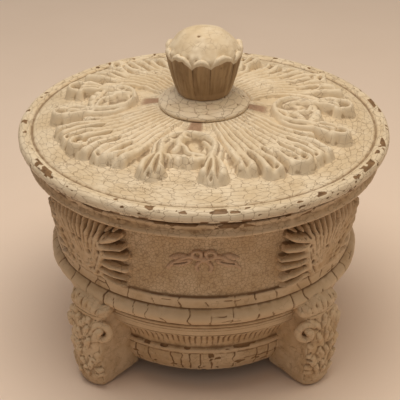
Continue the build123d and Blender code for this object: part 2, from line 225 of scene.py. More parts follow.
# ------------------------------------------------------------------ meshes
def smooth_path(points, steps, soften):
    """Points along a polyline, a step per stretch apart, its corners rounded by about soften."""
    points = np.asarray(points, float)
    lengths = np.r_[0, np.cumsum(np.hypot(*np.diff(points, axis=0).T))]
    fine = 0.1
    s = np.arange(0, lengths[-1], fine)
    dense = np.stack([np.interp(s, lengths, points[:, k]) for k in (0, 1)], 1)
    reach = max(int(3 * soften / fine), 1)
    kernel = np.exp(-0.5 * (np.arange(-reach, reach + 1) * fine / soften) ** 2)
    kernel /= kernel.sum()
    padded = np.vstack([np.repeat(dense[:1], reach, 0), dense, np.repeat(dense[-1:], reach, 0)])
    soft = np.stack([np.convolve(padded[:, k], kernel, "valid") for k in (0, 1)], 1)
    stretch = np.clip(np.searchsorted(lengths, s, "right") - 1, 0, len(steps) - 1)
    count = np.cumsum(fine / np.asarray(steps, float)[stretch])
    pick = np.interp(np.linspace(count[0], count[-1], int(count[-1]) + 1), count, np.arange(len(s)))
    return np.stack([np.interp(pick, np.arange(len(s)), soft[:, k]) for k in (0, 1)], 1)


def grid_quads(cols, rows, wrap_cols, wrap_rows):
    i = np.arange(cols if wrap_cols else cols - 1)
    j = np.arange(rows if wrap_rows else rows - 1)
    i, j = (a.ravel() for a in np.meshgrid(i, j, indexing="ij"))
    i2, j2 = (i + 1) % cols, (j + 1) % rows
    return np.stack([i * rows + j, i2 * rows + j, i2 * rows + j2, i * rows + j2], 1)


def close_skin(quads, count):
    """Turns a sheet of quads into a closed shell: a copy below, and walls round its edge."""
    edges = np.vstack([quads[:, [k, (k + 1) % 4]] for k in range(4)])
    code = edges[:, 0] * count + edges[:, 1]
    back = edges[:, 1] * count + edges[:, 0]
    rim = edges[~np.isin(code, back)]
    walls = np.stack([rim[:, 1], rim[:, 0], rim[:, 0] + count, rim[:, 1] + count], 1)
    return np.vstack([quads, quads[:, ::-1] + count, walls])


def hollows(points, quads, normals, rounds):
    """How far each point lies below (+) or above (-) its smoothed surroundings, in mm."""
    a = quads.ravel()
    b = np.roll(quads, -1, axis=1).ravel()
    ends, others = np.r_[a, b], np.r_[b, a]
    count = np.maximum(np.bincount(ends, minlength=len(points)), 1)
    smooth = points.copy()
    for _ in range(rounds):
        for k in range(3):
            mean = np.bincount(ends, smooth[others, k], len(points)) / count
            smooth[:, k] += 0.7 * (mean - smooth[:, k])
    return ((smooth - points) * normals).sum(1)


def add_object(name, data):
    thing = bpy.data.objects.new(name, data)
    bpy.context.scene.collection.objects.link(thing)
    return thing


def make_piece(name, points, quads, body, slot, materials, stands_for, uv=None, around=None,
               zones=None, extra=None, calm=None):
    """Makes one closed, smooth-shaded piece, with its hollows measured for the paint."""
    used, quads = np.unique(quads, return_inverse=True)
    quads = quads.reshape(-1, 4)
    points = points[used]
    if uv is not None:
        uv = uv[used]
    a, b, c, d = (points[quads[:, k]] for k in range(4))
    volume = ((np.cross(b - a, c - a) + np.cross(c - a, d - a)) * a).sum()
    if volume < 0:
        quads = quads[:, ::-1]
    # A quad with two neighbouring corners in one place becomes a triangle.
    same = quads == np.roll(quads, -1, axis=1)
    merged = same.sum(1)
    order = [np.nonzero(merged == 0)[0]]
    order += [np.nonzero((merged == 1) & same[:, k])[0] for k in range(4)]
    order = np.concatenate(order)
    corners, sizes = quads[order][~same[order]], 4 - merged[order]
    starts = np.r_[0, np.cumsum(sizes)[:-1]]
    mesh = bpy.data.meshes.new(name)
    mesh.vertices.add(len(points))
    mesh.vertices.foreach_set("co", (points * MM).astype(np.float32).ravel())
    mesh.loops.add(len(corners))
    mesh.loops.foreach_set("vertex_index", corners.astype(np.int32))
    mesh.polygons.add(len(sizes))
    mesh.polygons.foreach_set("loop_start", starts.astype(np.int32))
    mesh.polygons.foreach_set("use_smooth", np.ones(len(sizes), bool))
    if uv is not None:
        places = uv[corners].astype(float)
        if around is not None:
            first = np.repeat(starts, sizes)
            jump = places[:, 0] - places[first, 0]
            places[:, 0] -= around * np.round(jump / around)
        layer = mesh.uv_layers.new(name="surface")
        layer.data.foreach_set("uv", places.astype(np.float32).ravel())
    mesh.update(calc_edges=True)
    if zones is not None:
        mesh.polygons.foreach_set("material_index", zones[order].astype(np.int32))
    normals = np.empty(len(points) * 3, np.float32)
    mesh.vertices.foreach_get("normal", normals)
    normals = normals.reshape(-1, 3)
    shares = {label: np.asarray(values)[used] for label, values in (extra or {}).items()}
    for label, rounds in (("hollow_fine", 5), ("hollow_broad", 40)):
        values = hollows(points, quads, normals, rounds)
        shares[label] = values if calm is None else values * calm[used]
    for label, values in shares.items():
        mesh.attributes.new(label, "FLOAT", "POINT").data.foreach_set("value", values.astype(np.float32))
    for material in materials:
        mesh.materials.append(material)
    piece = add_object(name, mesh)
    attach(piece, body)
    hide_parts(*stands_for)
    return piece


class Turned:
    """A turned surface: every point's angle, radius, height and outward direction, column by column.

    The outline is a list of (radius, height); it either closes on itself or runs from the axis
    back to the axis. Lengths along the surface are measured at map_radius."""

    def __init__(self, outline, steps, columns, soften=0.3, map_radius=60.0):
        path = smooth_path(outline, steps, soften)
        self.closed = path[0, 0] > 1.0
        if self.closed:
            path = path[:-1]
            run = np.roll(path, -1, 0) - np.roll(path, 1, 0)
        else:
            path[0, 0] = path[-1, 0] = 0.0
            run = np.gradient(path, axis=0)
        x, z = path.T
        turn = np.sign((x * np.roll(z, -1) - np.roll(x, -1) * z).sum())
        out = turn * np.stack([run[:, 1], -run[:, 0]], 1) / np.maximum(np.hypot(*run.T), 1e-9)[:, None]
        self.path = path
        self.rows = len(path)
        self.columns = columns
        self.angle = np.repeat(np.arange(columns) * 2 * math.pi / columns, self.rows)
        self.radius, self.height = np.tile(x, columns), np.tile(z, columns)
        self.out_r, self.out_z = np.tile(out[:, 0], columns), np.tile(out[:, 1], columns)
        self.length = np.tile(np.r_[0, np.cumsum(np.hypot(*np.diff(path, axis=0).T))], columns)
        self.map_radius = map_radius

    def points(self, lift=0.0):
        radius = self.radius + self.out_r * lift
        height = self.height + self.out_z * lift
        return np.stack([radius * np.cos(self.angle), radius * np.sin(self.angle), height], 1)

    def piece(self, name, lift, body, slot, materials, node, zone_of=None, extra=None):
        """Makes the piece, raised by lift; zone_of gives a row's material from its (radius, height)."""
        points = self.points(lift)
        quads = grid_quads(self.columns, self.rows, True, self.closed)
        if not self.closed:
            merge = np.arange(len(points))
            for end in (0, self.rows - 1):
                merge[np.arange(self.columns) * self.rows + end] = end
            quads = merge[quads]
        uv = np.stack([self.angle * self.map_radius, self.length], 1)
        zones = None
        if zone_of is not None:
            row_zone = np.array([zone_of(r, z) for r, z in self.path])
            face_rows = self.rows if self.closed else self.rows - 1
            zones = np.tile(row_zone[:face_rows], self.columns)
        around = 2 * math.pi * self.map_radius
        return make_piece(name, points, quads, body, slot, materials, [node], uv, around, zones, extra)


def relief_piece(kind, where, base, normal, height, uv, body, material, depth=0.9):
    """Carved relief as its own closed piece, standing on a surface and let into it a little."""
    cols, rows = height.shape
    solid = height > 0.12
    keep = solid[:-1, :-1] | solid[1:, :-1] | solid[:-1, 1:] | solid[1:, 1:]
    quads = grid_quads(cols, rows, False, False)[keep.ravel()]
    lifted = np.where(solid, height, -0.35)[..., None]
    top = (base + normal * lifted).reshape(-1, 3)
    below = (base - normal * depth).reshape(-1, 3)
    points = np.vstack([top, below])
    quads = close_skin(quads, len(top))
    uv = np.vstack([uv.reshape(-1, 2)] * 2)
    name, node = f"{kind}_carved_{where}", f"{kind}_{where}"
    make_piece(name, points, quads, body, "relief_cream", [material], [node], uv=uv)


def stacked_piece(name, loops, slot, material, stands_for):
    """Closed piece of the box from a stack of loops (levels by points), capped at both ends."""
    edge = np.minimum(np.arange(loops.shape[0]), np.arange(loops.shape[0])[::-1])
    around = loops.shape[1]
    low, high = loops[0].mean(0), loops[-1].mean(0)
    foot = [low + share * (loops[0] - low) for share in (0.35, 0.75)]
    head = [high + share * (loops[-1] - high) for share in (0.75, 0.35)]
    ends = [np.repeat(end[None], around, 0) for end in (low, high)]
    rings = np.array([ends[0], *foot, *loops, *head, ends[1]])
    points = rings.transpose(1, 0, 2).reshape(-1, 3)
    count = len(rings)
    quads = grid_quads(around, count, True, False)
    merge = np.arange(len(points))
    merge[np.arange(around) * count] = 0
    merge[np.arange(around) * count + count - 1] = count - 1
    calm = np.tile(np.r_[0, 0, 0, ease(1, 7, edge), 0, 0, 0], around)
    return make_piece(name, points, merge[quads], "box", slot, [material], stands_for, calm=calm)


# ------------------------------------------------------------------ materials
CREAM = (0.68, 0.54, 0.36)
PALE = (0.80, 0.68, 0.51)
TAN = (0.52, 0.38, 0.22)
# Darker, browner copies of the lid's cream, pale and tan for the walls: partly the walls' own browner
# paint, partly painted shade on the walls under the lid.
BODY_CREAM = (0.54, 0.375, 0.215)
BODY_PALE = (0.66, 0.50, 0.33)
BODY_TAN = (0.40, 0.255, 0.13)
# Browns of the painted shade in hollows and creases.
HOLLOW_SHADE_BROWN = (0.19, 0.105, 0.045)
CREASE_SHADE_BROWN = (0.09, 0.042, 0.016)
ROSE_BROWN = (0.40, 0.25, 0.16)
SEAM = (0.19, 0.10, 0.045)
CRACK = (0.25, 0.145, 0.07)
CUP_BROWN = (0.25, 0.155, 0.075)
CUP_TAN = (0.42, 0.285, 0.155)
# Painted highlight colour for the cup's raised parts.
CUP_HIGHLIGHT = (0.42, 0.28, 0.16)
# Brown ground where the paint chipped off; the same browns paint the shade under the lid's rim and at the
# top of the band.
CHIP_AND_SHADE_PALE = (0.27, 0.155, 0.07)
CHIP_AND_SHADE_DEEP = (0.14, 0.072, 0.03)
COLLAR_TAN = (0.60, 0.43, 0.31)
FELT_BROWN = (0.10, 0.055, 0.03)
PAD_BROWN = (0.12, 0.075, 0.042)
STEEL_DULL = (0.42, 0.41, 0.38)
STEEL_BRIGHT = (0.62, 0.60, 0.56)
CLOTH_DEEP = (0.86, 0.70, 0.58)
CLOTH_LIGHT = (0.91, 0.75, 0.63)


class Look:
    """A material under construction: short calls that add shader nodes and return an output."""

    def __init__(self, name):
        self.material = bpy.data.materials.new(name)
        self.material.use_nodes = True
        self.tree = self.material.node_tree
        self.tree.nodes.clear()
        self.shader = self.tree.nodes.new("ShaderNodeBsdfPrincipled")
        self.put("OutputMaterial", {"Surface": self.shader.outputs[0]}, out=None)
        metres = self.put("TexCoord", out="Object")
        self.place = self.put("VectorMath", {0: metres, "Scale": 1 / MM}, operation="SCALE")

    def fill(self, node, inputs):
        for label, value in inputs.items():
            socket = node.inputs[label]
            if isinstance(value, bpy.types.NodeSocket):
                self.tree.links.new(value, socket)
            elif socket.type == "RGBA":
                socket.default_value = (*value, 1.0)
            else:
                socket.default_value = value

    def put(self, kind, inputs=None, out=0, **settings):
        node = self.tree.nodes.new("ShaderNode" + kind)
        for label, value in settings.items():
            setattr(node, label, value)
        self.fill(node, inputs or {})
        return None if out is None else node.outputs[out]

    def surface(self):
        """Position along the surface, from the map made with the mesh, in millimetres."""
        return self.put("UVMap", uv_map="surface")

    def attribute(self, label):
        return self.put("Attribute", out="Fac", attribute_name=label)

    def maths(self, operation, *values):
        return self.put("Math", dict(enumerate(values)), operation=operation)

    def times(self, a, b):
        return self.maths("MULTIPLY", a, b)

    def plus(self, a, b):
        return self.maths("ADD", a, b)

    def minus(self, a, b):
        return self.maths("SUBTRACT", a, b)

    def ramp(self, value, low, high, smooth=True, to=(0.0, 1.0)):
        ends = {"Value": value, "From Min": low, "From Max": high, "To Min": to[0], "To Max": to[1]}
        return self.put("MapRange", ends, interpolation_type="SMOOTHSTEP" if smooth else "LINEAR")

    def blend(self, share, below, above):
        return self.put("MixRGB", {"Fac": share, "Color1": below, "Color2": above})

    def noise(self, size, detail=3.0, roughness=0.55, place=None):
        inputs = {"Vector": place or self.place, "Scale": 1.0 / size, "Detail": detail}
        return self.put("TexNoise", {**inputs, "Roughness": roughness})

    def cracks(self, place, cell, width, wobble, patch):
        """1 along the cracks between cells of the given size, fading where the paint held."""
        fine, coarse = min(cell), max(cell)
        swirl = self.put("TexNoise", {"Vector": place, "Scale": 1.3 / fine}, out="Color")
        swirl = {0: swirl, 1: (wobble, wobble, wobble), 2: place}
        bend = self.put("VectorMath", swirl, operation="MULTIPLY_ADD")
        share = tuple(1 / size for size in cell)
        scaled = self.put("VectorMath", {0: bend, 1: share}, operation="MULTIPLY")
        cells = {"Vector": scaled, "Scale": 1.0, "Randomness": 0.85}
        edge = self.put("TexVoronoi", cells, feature="DISTANCE_TO_EDGE")
        spread = self.times(self.ramp(self.noise(fine * 1.5, place=place), 0.25, 0.75), width)
        wide = self.plus(spread, width * 0.35)
        line = self.minus(1.0, self.ramp(self.maths("DIVIDE", edge, wide), 0.35, 1.0))
        held = self.noise(coarse * 2.2, detail=1.0, place=place)
        return self.times(line, self.ramp(held, patch - 0.12, patch + 0.12))

    def finish(self, colour, roughness, relief=None, strength=0.7, distance=0.0004, others=None):
        """Plugs the results into the shader and returns the material."""
        inputs = {"Base Color": colour, "Roughness": roughness, **(others or {})}
        if relief is not None:
            lumps = {"Strength": strength, "Distance": distance, "Height": relief}
            inputs["Normal"] = self.put("Bump", lumps)
        self.fill(self.shader, inputs)
        return self.material


SATIN = {"Specular IOR Level": 0.35}


def paint(name, cracks, cream=CREAM, pale=PALE, tan=TAN, hollow_shade=1.0, gloss=0.5):
    """Crackled cream paint over brown, with painted shade in hollows and creases and painted highlights on
    raised parts. cracks: (space, cell, width, wobble, patch, depth).
    """
    look = Look(name)
    cloud = look.ramp(look.noise(14.0), 0.35, 0.7)
    mottle = look.ramp(look.noise(2.6, detail=5.0), 0.35, 0.75)
    grain = look.noise(0.5, detail=4.0)
    colour = look.blend(cloud, cream, pale)
    colour = look.blend(look.times(mottle, 0.34), colour, tan)
    broad = look.attribute("hollow_broad")
    fine = look.attribute("hollow_fine")
    # Painted highlight: raised parts are blended towards the pale colour.
    raised = look.ramp(look.times(broad, -1.0), 0.03, 0.30)
    colour = look.blend(look.times(raised, 0.55), colour, pale)
    uneven = look.times(look.minus(mottle, 0.5), 0.10)
    # Painted shade: darker in broad hollows and in fine creases, where shade falls; the same mask also
    # roughens the paint.
    deep = look.ramp(look.plus(broad, uneven), 0.04, 0.42)
    crease = look.ramp(look.plus(fine, look.times(uneven, 0.3)), 0.012, 0.075)
    # Rose-brown bare ground in front of the collar, partly its own colour and partly painted shade there.
    colour = look.blend(look.attribute("bare"), colour, ROSE_BROWN)
    hollow_shade_mask = look.maths("MAXIMUM", look.times(deep, 0.85), look.times(crease, 0.7))
    colour = look.blend(look.times(hollow_shade_mask, hollow_shade), colour, HOLLOW_SHADE_BROWN)
    relief = look.plus(look.times(grain, 0.10), look.times(mottle, 0.16))
    for space, cell, width, wobble, patch, depth in cracks:
        where = look.place if space == "solid" else look.surface()
        line = look.cracks(where, cell, width, wobble, patch)
        colour = look.blend(look.times(line, depth), colour, CRACK)
        relief = look.minus(relief, look.times(line, 0.7 * depth))
    seam = look.ramp(look.attribute("crack"), 0.15, 0.8)
    colour = look.blend(look.times(seam, 0.9), colour, SEAM)
    # Chipped paint shows the brown ground; the same attribute also carries painted shade under the lid's
    # rim and at the top of the band.
    bare = look.blend(mottle, CHIP_AND_SHADE_PALE, CHIP_AND_SHADE_DEEP)
    colour = look.blend(look.ramp(look.attribute("chip_and_shade"), 0.25, 0.6), colour, bare)
    rough = look.maths("MULTIPLY_ADD", hollow_shade_mask, 0.25, gloss)
    return look.finish(colour, rough, relief, others=SATIN)


def felt(name, colour):
    look = Look(name)
    fibre = look.noise(0.35, detail=6.0, roughness=0.7)
    shaded, lit = (tuple(share * c for c in colour) for share in (0.55, 1.5))
    shade = look.blend(look.ramp(fibre, 0.3, 0.7), shaded, colour)
    shade = look.blend(look.times(look.noise(9.0), 0.4), shade, lit)
    sheen = {"Sheen Weight": 0.35, "Sheen Roughness": 0.4}
    return look.finish(shade, 0.95, fibre, 0.8, 0.0003, sheen)


def steel(name):
    look = Look(name)
    smear = look.noise(1.2, detail=5.0)
    shade = look.blend(look.ramp(smear, 0.3, 0.7), STEEL_DULL, STEEL_BRIGHT)
    rough = look.ramp(smear, 0.3, 0.7, smooth=False, to=(0.28, 0.5))
    return look.finish(shade, rough, smear, 0.2, 0.0001, {"Metallic": 1.0})


def cup_paint(name):
    """Dark antiquing brushed down the cup's sides, cream on its rolled lips, painted highlights on its
    raised parts, and painted shade in its creases and hollows.
    """
    look = Look(name)
    stretch = {0: look.surface(), 1: (0.55, 0.07, 1.0)}
    along = look.put("VectorMath", stretch, operation="MULTIPLY")
    streak = look.put("TexNoise", {"Vector": along, "Scale": 1.0, "Detail": 4.0})
    mottle = look.ramp(look.noise(1.6, detail=4.0), 0.3, 0.7)
    colour = look.blend(look.ramp(streak, 0.35, 0.7), CUP_BROWN, CUP_TAN)
    broad = look.attribute("hollow_broad")
    # Painted highlight: raised parts are lighter.
    raised = look.ramp(look.times(broad, -1.0), 0.02, 0.25)
    colour = look.blend(look.times(raised, 0.45), colour, CUP_HIGHLIGHT)
    # Painted shade: dark in the creases.
    crease = look.ramp(look.attribute("hollow_fine"), 0.008, 0.06)
    colour = look.blend(look.times(crease, 0.7), colour, CREASE_SHADE_BROWN)
    cream = look.blend(look.times(mottle, 0.4), PALE, TAN)
    # Painted shade: the cream darkens in the cup's broad hollows.
    cream = look.blend(look.times(look.ramp(broad, 0.05, 0.5), 0.8), cream, HOLLOW_SHADE_BROWN)
    uneven = look.times(look.minus(mottle, 0.5), 0.35)
    edge = look.plus(look.attribute("pale"), uneven)
    colour = look.blend(look.ramp(edge, 0.3, 0.62), colour, cream)
    relief = look.times(look.noise(0.6, detail=4.0), 0.3)
    return look.finish(colour, 0.5, relief, 0.6, others=SATIN)


BODY = {"cream": BODY_CREAM, "pale": BODY_PALE, "tan": BODY_TAN}
ROSE = {"cream": (0.50, 0.31, 0.20), "pale": (0.60, 0.42, 0.28), "tan": (0.40, 0.26, 0.15)}
INSIDE = {"cream": (0.20, 0.12, 0.06), "pale": (0.26, 0.17, 0.09), "tan": (0.12, 0.07, 0.035)}


def bricks(across, up, *rest):
    """Cracks along a turned surface, in cells that are wider than they are high."""
    return ("surface", (across, up, 1.0), *rest)


def grains(size, *rest):
    """Cracks through the solid, in cells of one size."""
    return ("solid", (size, size, size), *rest)


# Every paint below darkens its hollows and creases as painted shade, at full strength unless a lower
# strength is given.
lid_bricks = [bricks(4.4, 2.0, 0.040, 0.55, 0.32, 0.62), bricks(1.9, 1.1, 0.05, 0.4, 0.58, 0.35)]
lid_paint = paint("lid_crackle", lid_bricks)
collar_bricks = [bricks(5.2, 2.3, 0.045, 0.7, 0.26, 0.6)]
collar_paint = paint("collar_crackle", collar_bricks, tan=COLLAR_TAN)
relief_paint = paint("relief_crackle", [grains(3.2, 0.035, 0.9, 0.50, 0.45)], hollow_shade=0.72)
carved_paint = paint("carved_cream", [grains(2.0, 0.05, 0.6, 0.50, 0.5)], **BODY)
band_paint = paint("band_crackle", [bricks(2.6, 1.8, 0.05, 0.5, 0.42, 0.55)], **BODY)
frieze_paint = paint("frieze_crackle", [bricks(1.35, 1.35, 0.09, 0.35, 0.28, 0.5)], **BODY)
torus_paint = paint("torus_crackle", [bricks(2.6, 2.2, 0.04, 0.5, 0.58, 0.35)], **BODY)
plinth_paint = paint("plinth_crackle", [bricks(2.4, 1.8, 0.05, 0.5, 0.50, 0.5)], **BODY)
inside_paint = paint("inside_brown", [], **INSIDE)
garland_paint = paint("garland_rose", [grains(1.6, 0.07, 0.4, 0.45, 0.4)], **ROSE)
foot_paint = paint("foot_cream", [grains(2.4, 0.05, 0.6, 0.50, 0.4)], hollow_shade=0.62, **BODY)
bud_paint = paint("bud_cream", [grains(2.4, 0.04, 0.5, 0.55, 0.35)], hollow_shade=0.6)
knob_cup_paint = cup_paint("cup_antiqued")
lining_felt = felt("lining_felt", FELT_BROWN)
pad_felt = felt("pad_felt", PAD_BROWN)
fastener_steel = steel("fastener_steel")


# ------------------------------------------------------------------ camera and light
def aim(thing, place, target):
    thing.location = place
    thing.rotation_euler = (Vector(target) - Vector(place)).to_track_quat("-Z", "Y").to_euler()


camera = add_object("camera", bpy.data.cameras.new("camera"))
bpy.context.scene.camera = camera
CAMERA_AT = (-0.0015, -0.4425, 0.3083)
CAMERA_AIM = (-0.0015, 0.0, 0.0573)
camera.data.lens = 111.8
camera.data.sensor_width = 36.0
aim(camera, CAMERA_AT, CAMERA_AIM)


def area_light(name, place, target, size, power, colour):
    light = bpy.data.lights.new(name, "AREA")
    light.shape = "DISK"
    light.size = size
    light.energy = power
    light.color = colour
    aim(add_object(name, light), place, target)


KEY_COLOUR = (1.0, 0.92, 0.80)
SIDE_COLOUR = (1.0, 0.80, 0.52)
AMBIENT_COLOUR = (1.0, 0.90, 0.80, 1.0)
AMBIENT_STRENGTH = 0.28
area_light("key", (-0.03, -0.03, 0.62), (0, 0, 0.03), size=0.46, power=2.45, colour=KEY_COLOUR)
area_light("side", (0.55, 0.05, 0.42), (0, 0, 0.07), size=0.3, power=0.48, colour=SIDE_COLOUR)

world = bpy.data.worlds.new("studio")
world.use_nodes = True
world.node_tree.nodes["Background"].inputs["Color"].default_value = AMBIENT_COLOUR
world.node_tree.nodes["Background"].inputs["Strength"].default_value = AMBIENT_STRENGTH
bpy.context.scene.world = world

floor_mesh = bpy.data.meshes.new("floor")
FLOOR_HALF = 3.0
floor_corners = [(x * FLOOR_HALF, y * FLOOR_HALF, 0.0) for x, y in ((-1, -1), (1, -1), (1, 1), (-1, 1))]
floor_mesh.from_pydata(floor_corners, [], [(0, 1, 2, 3)])
add_object("floor", floor_mesh)
cloth = Look("floor_cloth")
cloth_colour = cloth.blend(cloth.noise(60.0), CLOTH_DEEP, CLOTH_LIGHT)
floor_mesh.materials.append(cloth.finish(cloth_colour, 0.7))
bpy.context.scene.view_settings.view_transform = "Standard"


# ------------------------------------------------------------------ lid
LID_TURN = -9.0


def dome_z(radius):
    """Height of the lid's top surface, which falls from the collar to the border."""
    return COLLAR_Z - (COLLAR_Z - BORDER_Z) * (radius - COLLAR_R) / (BORDER_R - COLLAR_R)


def chips(points, cell, seed, share):
    """1 where the paint has chipped off, over about the given share of the surface."""
    spots = soft_noise(points, cell, seed) + 0.4 * soft_noise(points, 0.45 * np.asarray(cell), seed + 1)
    limit = np.quantile(spots, 1 - share)
    return ease(limit - 0.05, limit + 0.12, spots)


def make_lid_plate():
    # Up the screw's hole and down the dome; over the rim; in along the underside and its lip.
    outline = [CEILING[0], (SCREW_R, 94.8), (SCREW_R, 100.9), (COLLAR_R, COLLAR_Z), (BORDER_R, BORDER_Z)]
    outline += [(67.1, 92.3), (67.9, 92.3), (68.5, 93.1), (71.0, 93.4), (72.3, 92.8), (RIM_R, 91.5)]
    outline += [(RIM_R, 90.0), (72.4, 88.7), (71.2, 88.0), (54.4, 88.0), (54.4, 84.0), (50.4, 84.0)]
    outline += [CEILING[1], CEILING[0]]
    steps = [4, 3, 4, 0.42] + [0.3] * 9 + [1.2] * 4 + [3]
    lid = Turned(outline, steps, BIG_COLUMNS, soften=0.3, map_radius=62.0)
    place = lid.points()
    shown = ease(87.5, 88.3, lid.height) * ease(17, 19, lid.radius)
    rim = ease(68.2, 69.5, lid.radius)
    lumps = 0.10 * soft_noise(place, (7, 7, 5), 3) + 0.07 * soft_noise(place, (2.4, 2.4, 1.8), 4)
    edge = bell(lid.height, 93.1, 0.6) * ease(69.3, 70.3, lid.radius)
    foot = ease(90.8, 88.6, lid.height) * rim
    chip_and_shade = chips(place, (3.8, 3.8, 1.6), 5, 0.15) * edge
    chip_and_shade = np.maximum(chip_and_shade, chips(place, (2.4, 2.4, 1.3), 7, 0.025) * rim)
    # Chips set thick over the lower half of the rolled rim, partly real chipping and partly painted shade
    # under the roll.
    chip_and_shade = np.maximum(chip_and_shade, chips(place, (3.5, 3.5, 2), 9, 0.3) * foot)
    # Painted shade: a dark line along the rim's lower edge, for the shade in the gap under the lid.
    chip_and_shade = np.maximum(chip_and_shade, ease(89.3, 88.7, lid.height + 0.25 * soft_noise(place, 3.0, 11)) * rim)
    lift = shown * (lumps * (0.55 + 0.45 * rim) - 0.28 * chip_and_shade)
    lift = np.where(lid.radius > RIM_R - 1, np.minimum(lift, RIM_R - lid.radius), lift)
    turn = (np.degrees(lid.angle) - LID_TURN) % 90
    # Bare rose-brown patch in front of the collar between the fans, partly its own colour and partly
    # painted shade.
    bare = ease(26.0, 23.0, lid.radius) * ease(9, 5, np.minimum(turn, 90 - turn)) * ease(16, 17, lid.radius)
    looks = [lid_paint, inside_paint]
    extra = {"chip_and_shade": chip_and_shade, "bare": bare}
    lid.piece("lid_plate_crackled", lift, "lid", "crackle_cream", looks, "lid_plate", lid_zone, extra)


def lid_zone(radius, z):
    """1 on the lid's bare underside, 0 where it is painted."""
    return 1 if z < CEILING[1][1] or (z < dome_z(radius) - 1.5 and radius < 60) else 0


FLUTES = 11
FLUTE_START = 19.0
FLUTE_STEP = 5.2
FLUTE_INNER = 19.3
FLUTE_OUTER = 46.0
LOBE_ANGLES = (27.5, 36.5, 45.5, 54.0, 62.0)
LOBE_REACH = (53.5, 56.5, 58.5, 59.0, 59.5)
FINE = 0.27  # distance between the points of a carving


def polar(beta, radius):
    """Flat place of an angle in degrees from the fan's straight edge, and a radius."""
    turn = np.radians(beta)
    return np.stack(np.broadcast_arrays(radius * np.cos(turn), radius * np.sin(turn)), -1)


def fan_strokes(rng):
    """Ridges, slots and pits of one leaf fan, in its own flat frame."""
    cuts = Strokes()
    radius = np.linspace(FLUTE_INNER, FLUTE_OUTER, 16)
    t = (radius - FLUTE_INNER) / (FLUTE_OUTER - FLUTE_INNER)
    for i in range(FLUTES):
        s = i / (FLUTES - 1)
        bend = (1 - s) * 7 * t + s * (24 * t**2 - 25 * t)
        beta = FLUTE_START + FLUTE_STEP * i + bend + rng.uniform(-0.25, 0.25)
        cuts.ridge(polar(beta, radius), (0.8, 1.45, 2.0), (1.2, 2.4, 2.8, 3.0))
    for k, (beta, reach) in enumerate(zip(LOBE_ANGLES, LOBE_REACH)):
        beta = beta + rng.uniform(-0.8, 0.8)
        reach = reach + rng.uniform(-0.8, 0.4)
        lean = rng.uniform(-1.0, 1.5)
        body = curve([polar(beta - 1.5, 41), polar(beta, 48), polar(beta + lean, reach - 3.6)])
        cuts.ridge(body, (2.2, 3.2, 3.9), (2.4, 3.0, 3.3))
        for side in (-1, 1):
            tip = polar(beta + 2.2 * side + lean, reach - 2.3 + 0.4 * side)
            finger = curve([polar(beta + 1.3 * side - 1, 40), polar(beta + 2.0 * side, 48), tip])
            cuts.ridge(finger, (1.1, 1.7, 2.2), (2.6, 3.6, 4.6, 4.4))
        vein = polar(beta + lean, np.linspace(47, reach - 2.6, 4))
        cuts.slot(vein, (0.5, 0.9, 0.5), (0.7, 1.6, 0.5))
        crotch = polar(beta + 4.5, np.linspace(41, 47 + k, 4))
        cuts.slot(crotch, (0.5, 1.0, 0.7), (1.6, 3.2, 2.2))
        if k in (1, 3):
            cuts.pit(*polar(beta + lean + 1.5, reach - 2.4), 0.8, 2.2)
    cuts.slot(polar(21.5, np.linspace(40, 47, 4)), (0.5, 1.0, 0.8), (1.5, 3.2, 2.4))
    cuts.ridge(polar(np.linspace(23.5, 25, 5), np.linspace(41, 49, 5)), (1.0, 1.5), (3.0, 3.4))
    curl = polar(49.5, 54.5)
    cuts.ridge(arc(curl, (3.6, 3.2), -80, 190, 26), (1.3, 1.8, 1.4), (4.4, 5.4, 4.6))
    cuts.ridge(arc(curl, (1.2, 0.6), 0, 300, 10), (1.3, 1.2), (3.6, 3.9))
    for place, wide, deep in (((-1.9, 0.9), 1.1, 3.6), ((1.6, 1.6), 0.9, 3.0), ((0.3, -2.1), 1.0, 3.2)):
        cuts.pit(*(curl + np.array(place)), wide, deep)
    return cuts


def carve(u, v, cuts, floor, places, seed):
    """Height field of carved relief: ridges joined over the floor, slots and pits cut into them."""
    wobble = 0.35 * soft_noise(places, 4.5, seed)
    height = np.maximum(ridge_field(u + wobble, v - wobble, cuts.ridges), floor)
    height = height - np.minimum(cuts.depth(u, v), np.maximum(height - 0.35, 0))
    for _ in range(3):
        height[1:-1] = (height[:-2] + 2 * height[1:-1] + height[2:]) / 4
        height[:, 1:-1] = (height[:, :-2] + 2 * height[:, 1:-1] + height[:, 2:]) / 4
    rough = 0.13 * soft_noise(places, 1.4, seed + 1) + 0.18 * soft_noise(places, 3.6, seed + 2)
    return np.where(height > 0.25, height + rough, height)


def lid_relief(kind, where, x, y, height, uv):
    base = np.stack([x, y, dome_z(np.hypot(x, y))], -1)
    normal = np.zeros_like(base)
    normal[..., 2] = 1
    relief_piece(kind, where, base, normal, height, uv, "lid", relief_paint)


def make_fan(corner, start, direction, seed):
    cuts = fan_strokes(np.random.default_rng(seed))
    beta, radius = np.meshgrid(np.linspace(6, 84, 290), np.arange(18.4, 62.0, FINE), indexing="ij")
    flat = polar(beta, radius)
    u, v = flat[..., 0], flat[..., 1]
    places = np.stack([u, v, np.zeros(u.shape)], -1)
    web = 1.0 * ease(FLUTE_INNER - 0.6, 28, radius) * ease(12, 19, beta) * ease(80, 75, beta)
    web *= ease(51, 46, radius)
    height = carve(u, v, cuts, web, places, seed)
    turn = np.radians(start + LID_TURN + direction * beta)
    x, y = radius * np.cos(turn), radius * np.sin(turn)
    lid_relief("lid_fan", corner, x, y, height, flat)


ARCH_U, ARCH_R = 38.0, 10.3
TIP_U, TIP_V = 50.6, 11.4


